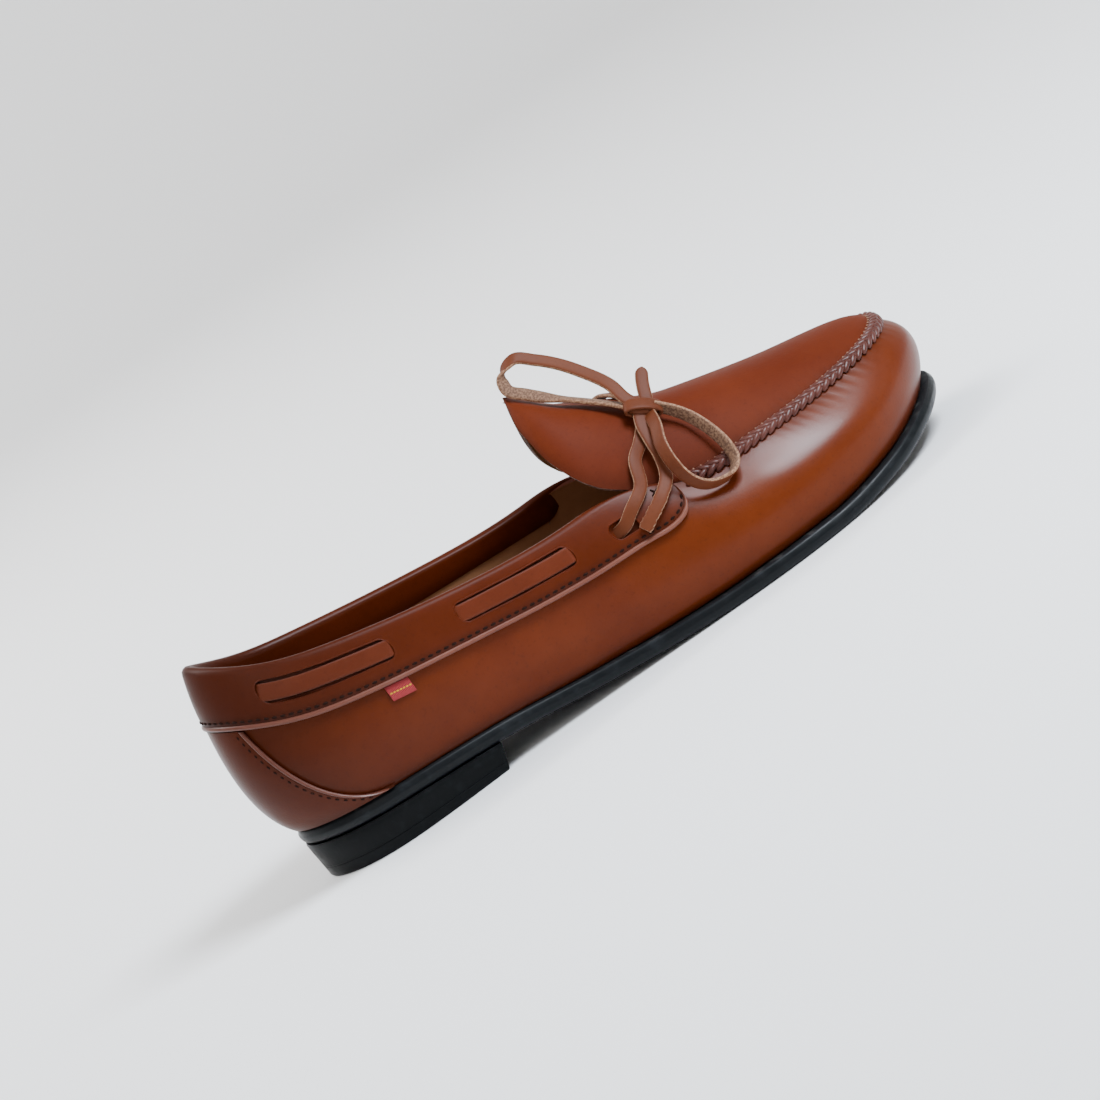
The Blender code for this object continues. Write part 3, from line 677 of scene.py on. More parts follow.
def new_object(name: str, bm: Mesh, finishes: Sequence["Finish"]) -> bpy.types.Object:
    """Links a new object that has a mesh and its finishes.

    Args:
        name: name of the object and its mesh.
        bm: the mesh, which is freed.
        finishes: finishes by material index.

    Returns:
        The new object.
    """
    mesh = bpy.data.meshes.new(name)
    bm.to_mesh(mesh)
    bm.free()
    for finish in finishes:
        mesh.materials.append(finish.material())
    made = bpy.data.objects.new(name, mesh)
    bpy.context.scene.collection.objects.link(made)
    return made


def add_piece(name: str, bm: Mesh, finishes: Sequence["Finish"],
              nodes: Sequence[str] = (), sharp: float = 0.9) -> bpy.types.Object:
    """Makes a finished mesh a piece of the shoe.

    Args:
        name: name of the piece.
        bm: its mesh, which is freed.
        finishes: finishes by material index.
        nodes: solids that the piece stands for.
        sharp: angle in radians above which an edge stays crisp.

    Returns:
        The new object.
    """
    face_outward(bm)
    piece = new_object(name, bm, finishes)
    piece.data.shade_smooth()
    piece.data.set_sharp_from_angle(angle=sharp)
    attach(piece, BODY)
    if nodes:
        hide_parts(*nodes)
    LOG.info("%s: %d faces", name, len(piece.data.polygons))
    return piece


class Nodes:
    """Short way to build a shader node tree."""

    def __init__(self, tree: bpy.types.NodeTree) -> None:
        """Keeps the tree to build in."""
        self.tree = tree

    def add(self, kind: str, **values: object) -> bpy.types.Node:
        """Adds a node of a kind, sets its properties and gives it back."""
        node = self.tree.nodes.new(kind)
        for name, value in values.items():
            setattr(node, name, value)
        return node

    def feed(self, socket: Socket, value: object) -> None:
        """Links a socket to another one, or sets it to a plain value.

        Args:
            socket: input to feed.
            value: a socket, a number or a colour.
        """
        if isinstance(value, bpy.types.NodeSocket):
            self.tree.links.new(value, socket)
        else:
            socket.default_value = (*value, 1.0) if isinstance(value, tuple) else value

    def dress(self, node: bpy.types.Node, **values: object) -> bpy.types.Node:
        """Feeds a node's inputs, by their names with underscores for blanks, and gives the node back."""
        for name, value in values.items():
            self.feed(node.inputs[name.replace("_", " ")], value)
        return node

    def where(self) -> Socket:
        """Adds the piece's own coordinates."""
        return self.add("ShaderNodeTexCoord").outputs["Object"]

    def axis(self, name: str) -> Socket:
        """Adds one of the piece's own coordinates, X, Y or Z."""
        return self.dress(self.add("ShaderNodeSeparateXYZ"), Vector=self.where()).outputs[name]

    def mark(self, name: str) -> Socket:
        """Adds the value that a piece's points keep under a name."""
        return self.add("ShaderNodeAttribute", attribute_name=name).outputs["Fac"]

    def math(self, operation: str, first: object, second: object) -> Socket:
        """Adds a math node.

        Args:
            operation: what it does.
            first: its first socket or number.
            second: its second socket or number.

        Returns:
            The result.
        """
        node = self.add("ShaderNodeMath", operation=operation)
        for socket, value in zip(node.inputs, (first, second)):
            self.feed(socket, value)
        return node.outputs[0]

    def noise(self, vector: Socket, scale: float, detail: float = 3.0) -> Socket:
        """Adds a noise texture and gives its value."""
        node = self.add("ShaderNodeTexNoise")
        return self.dress(node, Vector=vector, Scale=scale, Detail=detail).outputs["Fac"]

    def remap(self, value: Socket, source: Span, target: Span = (0.0, 1.0)) -> Socket:
        """Adds a smooth change of a value from one range to another, and gives the result."""
        node = self.add("ShaderNodeMapRange", interpolation_type="SMOOTHSTEP")
        self.dress(node, Value=value, From_Min=source[0], From_Max=source[1])
        return self.dress(node, To_Min=target[0], To_Max=target[1]).outputs["Result"]

    def blend(self, share: Socket, first: object, second: object) -> Socket:
        """Adds a mix of two colours.

        Args:
            share: share of the second colour.
            first: first colour, a socket or a tuple.
            second: second colour, a socket or a tuple.

        Returns:
            The mixed colour.
        """
        node = self.add("ShaderNodeMix", data_type="RGBA")
        colours = [socket for socket in node.inputs if socket.type == "RGBA"]
        for socket, value in zip((node.inputs["Factor"], *colours), (share, first, second)):
            self.feed(socket, value)
        return next(socket for socket in node.outputs if socket.type == "RGBA")

    def relief(self, height: Socket, strength: float, depth: float = 0.0004) -> Socket:
        """Adds a bump and gives its normal."""
        node = self.add("ShaderNodeBump")
        return self.dress(node, Height=height, Strength=strength, Distance=depth).outputs["Normal"]


def hide_group() -> bpy.types.NodeTree:
    """Node group of tanned hide: broad mottling, fine pores, small dark flecks and wrinkles.

    Returns:
        The group, made on first use.
    """
    tree = bpy.data.node_groups.get("hide_grain")
    if tree is not None:
        return tree
    tree = bpy.data.node_groups.new("hide_grain", "ShaderNodeTree")
    tree.interface.new_socket("Vector", in_out="INPUT", socket_type="NodeSocketVector")
    for name in ("Mottle", "Pores", "Flecks", "Wrinkles"):
        tree.interface.new_socket(name, in_out="OUTPUT", socket_type="NodeSocketFloat")
    kit = Nodes(tree)
    source = kit.add("NodeGroupInput").outputs["Vector"]
    broad, middle = kit.noise(source, 26.0, 2.0), kit.noise(source, 190.0)
    mottle = kit.math("ADD", kit.math("MULTIPLY", broad, 0.78), kit.math("MULTIPLY", middle, 0.22))
    cells = kit.add("ShaderNodeTexVoronoi", feature="SMOOTH_F1")
    kit.dress(cells, Vector=source, Scale=1250.0, Smoothness=0.6)
    fine = kit.noise(source, 2600.0, 2.0)
    pores = kit.math("ADD", cells.outputs["Distance"], kit.math("MULTIPLY", fine, 0.35))
    stretch = kit.add("ShaderNodeMapping")
    stretch.inputs["Scale"].default_value = (0.55, 1.0, 1.7)
    kit.dress(stretch, Vector=source)
    kit.dress(
        kit.add("NodeGroupOutput"),
        Mottle=kit.remap(mottle, (0.22, 0.78)),
        Pores=pores,
        Flecks=kit.remap(kit.noise(source, 900.0, 6.0), (0.56, 0.7)),
        Wrinkles=kit.noise(stretch.outputs["Vector"], 320.0, 4.0),
    )
    return tree


@dataclass(frozen=True)
class Finish:
    """Base of every finish: a named material that is made once."""

    name: str

    def material(self) -> bpy.types.Material:
        """Material of the finish.

        Returns:
            The material, made on first use.
        """
        found = bpy.data.materials.get(self.name)
        if found is None:
            found = bpy.data.materials.new(self.name)
            found.use_nodes = True
            self.dress(Nodes(found.node_tree), found.node_tree.nodes["Principled BSDF"])
        return found

    def dress(self, kit: Nodes, shader: bpy.types.Node) -> None:
        """Builds the material's own nodes."""
        raise NotImplementedError


@dataclass(frozen=True)
class Hide(Finish):
    """Smooth tanned leather with mottling, fine pores, a polished forefoot, burnished edges with painted
    shade, and painted shade towards the heel.
    """

    dark: Colour = (0.1, 0.03, 0.01)
    light: Colour = (0.3, 0.1, 0.03)
    fleck_and_shade: Colour = (0.03, 0.01, 0.006)
    heel_share: float = 0.0
    roughness: Span = (0.3, 0.46)
    coat: float = 0.12
    grain: float = 0.08
    gloss: float = 0.22
    polish: float = 0.0
    heel_fade: Span = (-0.145, -0.05)
    polish_start: Span = (0.03, 0.085)
    polish_end: Span = (0.112, 0.134)
    polish_rise: Span = (0.018, 0.036)

    def dress(self, kit: Nodes, shader: bpy.types.Node) -> None:
        """Builds colour with its painted shade, gloss and grain.

        Args:
            kit: the material's node tree.
            shader: its shader.
        """
        hide = kit.add("ShaderNodeGroup", node_tree=hide_group())
        mottle, pores, flecks, wrinkles = kit.dress(hide, Vector=kit.where()).outputs
        colour = kit.blend(mottle, self.dark, self.light)
        colour = kit.blend(kit.math("MULTIPLY", flecks, 0.15), colour, self.fleck_and_shade)
        # Painted shade: the colour darkens towards the heel, where less light falls.
        if self.heel_share:
            rear = kit.remap(kit.axis("X"), self.heel_fade, (self.heel_share, 0.0))
            colour = kit.blend(rear, colour, self.fleck_and_shade)
        # Burnish and painted shade from each piece's marked darkening: near the sole, under seams, piping and
        # beads, on undersides and on rolled edges' flanks.
        colour = kit.blend(kit.math("MULTIPLY", kit.mark("burnish"), 0.8), colour, self.fleck_and_shade)
        relief = kit.math("ADD", pores, kit.math("MULTIPLY", wrinkles, 1.6))
        coat = self.polished(kit) if self.polish else self.coat
        kit.dress(shader, Base_Color=colour, Roughness=kit.remap(mottle, (0.0, 1.0), self.roughness),
                  Specular_IOR_Level=self.gloss, Coat_Weight=coat, Coat_Roughness=0.3,
                  Normal=kit.relief(relief, self.grain))

    def polished(self, kit: Nodes) -> Socket:
        """Coat that is thicker on the upper forefoot, where the leather is polished.

        Args:
            kit: the material's node tree.

        Returns:
            Weight of the coat.
        """
        ahead = kit.remap(kit.axis("X"), self.polish_start)
        fore = kit.math("MULTIPLY", ahead, kit.remap(kit.axis("X"), self.polish_end, (1.0, 0.0)))
        high = kit.remap(kit.axis("Z"), self.polish_rise, (self.coat, self.coat + self.polish))
        return kit.math("MAXIMUM", kit.math("MULTIPLY", fore, high), self.coat)


@dataclass(frozen=True)
class Flesh(Finish):
    """Rough flesh side or raw cut edge of leather, pale with dark fibres."""

    pale: Colour = (0.42, 0.25, 0.14)
    deep: Colour = (0.16, 0.06, 0.025)
    speckle: Span = (0.42, 0.6)

    def dress(self, kit: Nodes, shader: bpy.types.Node) -> None:
        """Builds the speckled colour and nap."""
        speck = kit.noise(kit.where(), 1300.0, 6.0)
        kit.dress(shader, Base_Color=kit.blend(kit.remap(speck, self.speckle), self.deep, self.pale),
                  Roughness=0.82, Normal=kit.relief(speck, 0.5))


@dataclass(frozen=True)
class SoleBlack(Finish):
    """Black sole edge: inked and waxed, with faint scuffs."""

    tone: Colour = (0.0015, 0.002, 0.0024)
    scuffed: Colour = (0.004, 0.0048, 0.0055)
    roughness: Span = (0.3, 0.45)
    gloss: float = 0.09

    def dress(self, kit: Nodes, shader: bpy.types.Node) -> None:
        """Builds scuffs, gloss and fine unevenness."""
        scuff = kit.noise(kit.where(), 210.0, 7.0)
        kit.dress(shader, Base_Color=kit.blend(kit.remap(scuff, (0.55, 0.72)), self.tone, self.scuffed),
                  Roughness=kit.remap(scuff, (0.35, 0.7), self.roughness), Specular_IOR_Level=self.gloss,
                  Normal=kit.relief(kit.noise(kit.where(), 640.0, 4.0), 0.12))


@dataclass(frozen=True)
class Thread(Finish):
    """Waxed sewing thread."""

    dark: Colour = (0.009, 0.0035, 0.0025)
    light: Colour = (0.022, 0.009, 0.006)
    roughness: float = 0.7

    def dress(self, kit: Nodes, shader: bpy.types.Node) -> None:
        """Builds the twisted colour."""
        colour = kit.blend(kit.noise(kit.where(), 1500.0), self.dark, self.light)
        kit.dress(shader, Base_Color=colour, Roughness=self.roughness, Specular_IOR_Level=0.04)


@dataclass(frozen=True)
class Woven(Finish):
    """Narrow woven ribbon, its warp and weft read from the piece's own marks."""

    warp: Colour = (0.32, 0.012, 0.016)
    weft: Colour = (0.17, 0.006, 0.01)
    ribs_along: float = 34.0
    ribs_across: float = 20.4

    def dress(self, kit: Nodes, shader: bpy.types.Node) -> None:
        """Builds the ribbed weave.

        Args:
            kit: the material's node tree.
            shader: its shader.
        """
        along = kit.math("MULTIPLY", kit.mark("along"), self.ribs_along * math.pi)
        across = kit.math("MULTIPLY", kit.mark("across"), self.ribs_across * math.pi)
        cross = kit.math("MULTIPLY", kit.math("SINE", along, 0.0), kit.math("SINE", across, 0.0))
        colour = kit.blend(kit.remap(cross, (-0.8, 0.8)), self.weft, self.warp)
        kit.dress(shader, Base_Color=colour, Roughness=0.75, Normal=kit.relief(cross, 0.5, 0.0003))


@dataclass(frozen=True)
class Backdrop(Finish):
    """Plain pale studio floor."""

    tone: Colour = (0.9, 0.9, 0.9)

    def dress(self, kit: Nodes, shader: bpy.types.Node) -> None:
        """Sets the floor's plain colour."""
        kit.dress(shader, Base_Color=self.tone, Roughness=0.9, Specular_IOR_Level=0.1)


WALL_HIDE = Hide(
    "cognac_wall", (0.079, 0.0114, 0.0016), (0.108, 0.0184, 0.003), (0.012, 0.0033, 0.0016),
    heel_share=0.5, roughness=(0.3, 0.34), coat=0.06, grain=0.06, gloss=0.08, polish=0.36,
)
APRON_HIDE = Hide(
    "red_brown_apron", (0.076, 0.012, 0.0038), (0.098, 0.0176, 0.0056), (0.02, 0.0042, 0.0022),
    roughness=(0.5, 0.56), coat=0.0, grain=0.06, gloss=0.04,
)
BAND_HIDE = Hide(
    "brown_band", (0.062, 0.0088, 0.0012), (0.084, 0.013, 0.0023), (0.011, 0.003, 0.0014),
    heel_share=0.5, roughness=(0.36, 0.42), coat=0.05, grain=0.06, gloss=0.08,
)
# The piping's colour is its leather's, painted lighter and pinker as a highlight along the ridge.
HIGHLIT_PIPING_HIDE = Hide(
    "piping_with_painted_highlight", (0.115, 0.03, 0.016), (0.155, 0.046, 0.026), (0.03, 0.008, 0.005),
    heel_share=0.4, roughness=(0.3, 0.4), coat=0.2,
)
PLAIT_HIDE = Hide(
    "maroon_plait", (0.046, 0.0098, 0.0062), (0.088, 0.0235, 0.0155), (0.014, 0.0036, 0.0028),
    roughness=(0.34, 0.44), coat=0.2, gloss=0.18,
)
LACE_GRAIN = Hide(
    "lace_grain", (0.074, 0.0178, 0.0062), (0.105, 0.028, 0.0104), (0.04, 0.011, 0.0055),
    roughness=(0.48, 0.58), coat=0.02, gloss=0.1,
)
BAR_GRAIN = Hide(
    "lace_in_band", (0.076, 0.0122, 0.0028), (0.104, 0.0185, 0.0048), (0.02, 0.0055, 0.0028),
    heel_share=0.4, roughness=(0.4, 0.48), coat=0.05, gloss=0.12,
)
LINING = Hide(
    "tan_lining", (0.2, 0.09, 0.04), (0.27, 0.135, 0.065), (0.13, 0.05, 0.02),
    roughness=(0.5, 0.65), coat=0.0,
)
FOOTBED = Hide(
    "tan_footbed", (0.18, 0.075, 0.032), (0.26, 0.12, 0.055), (0.1, 0.04, 0.015),
    roughness=(0.45, 0.62), coat=0.05,
)
# The lace's cut edges in the windows: pale fibres, with painted shade making them far darker than the same
# lace's edges elsewhere.
SHADED_BAR_EDGE = Flesh("lace_in_band_shaded_edge", (0.22, 0.085, 0.042), (0.035, 0.01, 0.0055), (0.5, 0.66))
LACE_FLESH = Flesh("lace_flesh", (0.19, 0.098, 0.053), (0.08, 0.034, 0.0165), (0.38, 0.64))
LACE_EDGE = Flesh("lace_edge", (0.28, 0.15, 0.082), (0.15, 0.063, 0.03))
CUT_EDGE = Flesh("cut_edge", (0.12, 0.06, 0.038), (0.045, 0.02, 0.012))
SOLE_FINISH = SoleBlack("black_sole")
# Black sole edge whose bluer tone is a painted cool reflection along it.
EDGE_FINISH_PAINTED_SHEEN = SoleBlack(
    "black_sole_edge_painted_sheen", (0.0016, 0.0026, 0.0036), (0.0045, 0.0062, 0.008), (0.34, 0.46), gloss=0.17,
)
TREAD_FINISH = SoleBlack("black_tread", (0.008, 0.008, 0.009), (0.03, 0.029, 0.028), (0.5, 0.75))
DARK_THREAD = Thread("dark_thread")
PALE_THREAD = Thread("pale_thread", (0.16, 0.08, 0.052), (0.3, 0.18, 0.125), 0.6)
GOLD_THREAD = Thread("gold_thread", (0.42, 0.22, 0.012), (0.58, 0.34, 0.03), 0.6)
CRIMSON_WEAVE = Woven("crimson_weave")
FLOOR_FINISH = Backdrop("pale_floor")


@dataclass
class Ribbon:
    """Flat leather lace: a strip with a grain side, a flesh side and raw edges."""

    width: float = 4.8
    thick: float = 1.7
    corners: int = 16
    rounding: Span = (0.45, 0.6)
    side_look: float = 0.55

    def section(self) -> Array:
        """Shape of the strip's section.

        Returns:
            Its points as width and thickness.
        """
        turn = np.linspace(0, 2 * np.pi, self.corners, endpoint=False) + np.pi / self.corners
        round_one = np.stack([np.cos(turn), np.sin(turn)], axis=-1)
        shape = np.sign(round_one) * np.abs(round_one) ** np.array(self.rounding)
        return shape * np.array([self.width, self.thick]) / 2

    def sweep(self, centre: Curve, face: Curve, stations: int, taper: Curve | None = None) -> Mesh:
        """Sweeps the strip along a route.

        Args:
            centre: function from a share 0 to 1 to the route's places.
            face: function from a share to the direction that the grain side faces.
            stations: facets along the route.
            taper: width at a share of the route, as a part of the full width.

        Returns:
            Closed mesh with material 0 on the grain side, 1 on the flesh side and 2 on the edges.
        """
        shape = self.section()

        def place(along: Array, across: Array) -> Array:
            """Point of the strip's surface."""
            index = ring_index(across, self.corners)
            run = run_of(centre, along)
            out = face(along)
            out = unit(out - run * (out * run).sum(axis=-1, keepdims=True))
            side = np.cross(out, run)
            slim = np.ones_like(along) if taper is None else taper(along)
            sideways = side * (shape[index, 0] * slim)[:, None]
            return centre(along) + sideways + out * shape[index, 1][:, None]

        bm = grid_mesh(stations, self.corners, place)
        face_outward(bm)
        self.mark_sides(bm, centre, face)
        return bm

    def mark_sides(self, bm: Mesh, centre: Curve, face: Curve) -> None:
        """Sets each face's material from the way it looks against the strip's grain side.

        Args:
            bm: mesh of the strip, its faces turned outward.
            centre: function from a share 0 to 1 to the route's places.
            face: function from a share to the direction that the grain side faces.
        """
        shares = np.linspace(0, 1, 241)
        line, out = metres(centre(shares)), unit(face(shares))
        for each in bm.faces:
            middle = np.array(each.calc_center_median())
            nearest = int(((line - middle) ** 2).sum(axis=1).argmin())
            look = float(np.dot(each.normal, out[nearest]))
            each.material_index = 0 if look > self.side_look else 1 if look < -self.side_look else 2


def run_of(centre: Curve, share: Array) -> Array:
    """Direction of a route at a share of its length."""
    return unit(centre(np.minimum(share + 0.004, 1)) - centre(np.maximum(share - 0.004, 0)))


RIBBON = Ribbon()
BAR_RIBBON = Ribbon(width=6.25, thick=1.75, corners=20, rounding=(0.22, 0.5))
WRAP_RIBBON = Ribbon(width=5.8, thick=1.4)
LACE_FINISHES = (LACE_GRAIN, LACE_FLESH, LACE_EDGE)
BAR_FINISHES = (BAR_GRAIN, LACE_FLESH, SHADED_BAR_EDGE)


@dataclass
class Bottom:
    """Outsole, heel block and footbed."""

    welt: float = 4.6
    welt_heel: float = 2.0
    welt_start_x: float = -60.0
    welt_run: float = 70.0
    edge_round: float = 2.4
    crease_depth: float = 0.35
    crease_share: float = 0.72
    crease_width: float = 0.05
    heel_top_x: float = -72.0
    heel_bottom_x: float = -74.5
    heel_taper: float = 1.2
    heel_reach: float = 140.0
    heel_profile: tuple[Span, ...] = (
        (0.9, 0.0), (0.35, 0.02), (0.0, 0.06), (0.0, 0.3), (0.14, 0.312),
        (0.14, 0.325), (0.0, 0.337), (0.0, 0.6), (0.0, 0.95), (0.3, 1.0),
    )
    footbed_thick: float = 3.0
    footbed_dish: float = 1.1
    footbed_profile: tuple[Span, ...] = ((0.0, 0.0), (0.0, 0.6), (0.3, 0.85), (0.9, 1.0))

    def welt_at(self, u: Array) -> Array:
        """How far the sole stands out past the foot line: less around the heel."""
        nearness = np.clip((FORM.column["foot_x"](u) - self.welt_start_x) / self.welt_run, 0, 1)
        return self.welt_heel + (self.welt - self.welt_heel) * nearness

    def slab(self, columns: int, outline: Callable[[Array, Array, Array], tuple[Array, Array]],
             heights: Callable[[Array], tuple[Array, Array]], profile: Sequence[Span],
             across: int, dish: float = 0.0) -> Mesh:
        """Slab between two heights whose edge follows a profile.

        Args:
            columns: facets from heel to toe.
            outline: outer and inner side's points for a share, an inset and a height share.
            heights: lower and upper height at x.
            profile: inset and height share of the edge's points, from bottom to top.
            across: facets across each face.
            dish: how far the middle of the upper face lies below its edge.

        Returns:
            Closed mesh.
        """
        steps = np.linspace(-1, 1, across + 1)
        ring = [(side, profile[0][0], 0.0) for side in steps]
        ring += [(1.0, inset, share) for inset, share in profile[1:-1]]
        ring += [(side, profile[-1][0], 1.0) for side in steps[::-1]]
        ring += [(-1.0, inset, share) for inset, share in reversed(profile[1:-1])]
        table = np.array(ring)

        def place(along: Array, turn: Array) -> Array:
            """Point of the slab's surface."""
            side, inset, share = table[ring_index(turn, len(ring))].T
            left, right = outline(along, inset, share)
            spot = (1 - side[:, None]) / 2 * left + (1 + side[:, None]) / 2 * right
            low, high = heights(spot[:, 0])
            spot[:, 2] = low + (high - low) * share
            spot[:, 2] -= dish * (share > 0.99) * (1 - side**2)
            return spot

        return grid_mesh(columns, len(ring), place)

    def both_sides(self, along: Array, inset: Array, offset: Curve) -> tuple[Array, Array]:
        """Rim of a slab that runs from heel to toe.

        Args:
            along: share of the way from heel to toe.
            inset: how far the rim is drawn in.
            offset: how far the rim stands out past the foot line, by place.

        Returns:
            Points of the outer and the inner side.
        """
        even = (1 - np.cos(np.pi * along)) / 2 * 0.35 + along * 0.65
        outer_u = even * FORM.toe_tip
        inner_u = FORM.girth - even * (FORM.girth - FORM.toe_tip)
        return (FORM.foot_line(outer_u, offset(outer_u) - inset),
                FORM.foot_line(inner_u, offset(inner_u) - inset))

    def build_outsole(self) -> None:
        """Builds the black sheet sole with its rounded edge and a crease below its upper rim."""
        profile = []
        for turn in np.linspace(-np.pi / 2, np.pi / 2, 13):
            share = 0.5 + 0.5 * math.sin(turn)
            crease = self.crease_depth * math.exp(-(((share - self.crease_share) / self.crease_width) ** 2))
            profile.append((self.edge_round * (1 - math.cos(turn)) + crease, share))

        bm = self.slab(
            220, lambda along, inset, _share: self.both_sides(along, inset, self.welt_at),
            lambda x: (FORM.sole_under(x), FORM.sole_under(x) + FORM.sole_edge), profile, 12,
        )
        for face in bm.faces:
            face.material_index = int(face.normal.z < -0.8 and len(face.verts) == 4)
        add_piece("outsole_edge", bm, (EDGE_FINISH_PAINTED_SHEEN, TREAD_FINISH), ("outsole",))

    def build_heel(self) -> None:
        """Builds the heel block of stacked lifts with a set-back breast."""
        samples = np.linspace(0, self.heel_reach, 281)

        def rim_place(x: Array, side: Side) -> Array:
            """Place on the foot line where the rim passes x on one side."""
            line = FORM.foot_line(side.value * samples, self.welt_at(side.value * samples))
            return side.value * np.interp(x, line[:, 0], samples)

        def outline(along: Array, inset: Array, share: Array) -> tuple[Array, Array]:
            """Rim of the block."""
            breast_x = self.heel_bottom_x + (self.heel_top_x - self.heel_bottom_x) * share
            taper = self.heel_taper * (1 - share) + inset + FORM.gap
            outer_u, inner_u = (along * rim_place(breast_x, side) for side in Side)
            return (FORM.foot_line(outer_u, self.welt_at(outer_u) - taper),
                    FORM.foot_line(inner_u, self.welt_at(inner_u) - taper))

        bm = self.slab(
            90, outline, lambda x: (np.zeros_like(x), FORM.sole_under(x) - FORM.gap / 2),
            self.heel_profile, 8,
        )
        add_piece("heel_block", bm, (SOLE_FINISH,), ("heel",), 0.6)

    def build_footbed(self) -> None:
        """Builds the leather footbed, slightly dished and clear of the wall."""
        clear = FORM.wall_thick + 2 * FORM.gap
        low = FORM.sole_edge + FORM.gap
        high = low + self.footbed_thick
        bm = self.slab(
            160,
            lambda along, inset, _share: self.both_sides(along, inset, lambda u: np.full_like(u, -clear)),
            lambda x: (FORM.sole_under(x) + low, FORM.sole_under(x) + high),
            self.footbed_profile, 16, self.footbed_dish,
        )
        add_piece("footbed", bm, (FOOTBED,), ("insole",))

    def build(self) -> None:
        """Builds the three pieces."""
        self.build_outsole()
        self.build_heel()
        self.build_footbed()


@dataclass
class Upper:
    """Hollow wall of vamp and quarters, with its lining and soft creases."""

    around: int = 460
    up: int = 44
    pucker_depth: float = 0.1
    pucker_reach: float = 4.4
    pucker_drop: float = 2.0
    pucker_fade: Span = (50.0, 120.0)
    foot_burnish: float = 0.75
    foot_burnish_reach: float = 4.5
    top_burnish: float = 0.4
    top_shade_reach: float = 3.5
    lining_burnish: float = 0.15

    def relief(self, u: Array, v: Array) -> Array:
        """Puckers and soft dents of the wall.

        Args:
            u: places on the foot line.
            v: 0 at the sole, 1 at the top.

        Returns:
            Heights in millimetres.
        """
        drop = (1 - v) * FORM.rib_length(u)
        from_heel = np.mod(u, FORM.girth)
        from_toe = np.abs(from_heel - FORM.toe_tip)
        near_toe = 1 - smooth_step(*self.pucker_fade, from_toe)
        near_seam = bell(drop - self.pucker_drop, self.pucker_reach)
        height = self.pucker_depth * near_toe * pucker_wave(from_toe) * near_seam
        signed = np.mod(u + FORM.girth / 2, FORM.girth) - FORM.girth / 2
        outer = np.where(u > FORM.girth / 2, signed, from_heel)
        for place, below, wide, high, rise in DENTS:
            at = outer if place > 0 else signed
            height = height + rise * bell(at - place, wide) * bell(drop - below, high)
        return height

    def build(self) -> None:
        """Builds the wall: leather outside, lining inside."""
        ring = 2 * self.up + 2

        def layer_of(across: Array) -> tuple[Array, Array]:
            """Share up the wall and layer, 0 outside and 1 inside."""
            index = ring_index(across, ring)
            outer = index <= self.up
            return np.where(outer, index, 2 * self.up + 1 - index) / self.up, np.where(outer, 0.0, 1.0)

        def place(along: Array, across: Array) -> Array:
            """Point of the wall's surface."""
            v, layer = layer_of(across)
            u = along * FORM.girth
            spot = FORM.skin(u, v, np.where(layer > 0.5, -FORM.wall_thick, self.relief(u, v)))
            floor = FORM.sole_under(spot[:, 0]) + FORM.sole_edge + FORM.gap
            spot[:, 2] = np.where(v == 0, floor, spot[:, 2])
            return spot

        def burnish(along: Array, across: Array) -> Array:
            """Painted shade near the sole and below the seam, and a slightly darker lining."""
            v, layer = layer_of(across)
            length = FORM.rib_length(along * FORM.girth)
            # Painted shade where the wall meets the sole and where the plait overhangs the seam.
            by_foot = self.foot_burnish * bell(v * length, self.foot_burnish_reach)
            by_top = self.top_burnish * bell((1 - v) * length, self.top_shade_reach)
            return np.where(layer > 0.5, self.lining_burnish, np.clip(by_foot + by_top, 0, 1))

        bm = grid_mesh(self.around, ring, place, {
            "burnish": burnish, "layer": lambda along, across: layer_of(across)[1]})
        paint_faces(bm, "layer", round)
        add_piece("upper_wall", bm, (WALL_HIDE, LINING), ("upper",), 1.2)


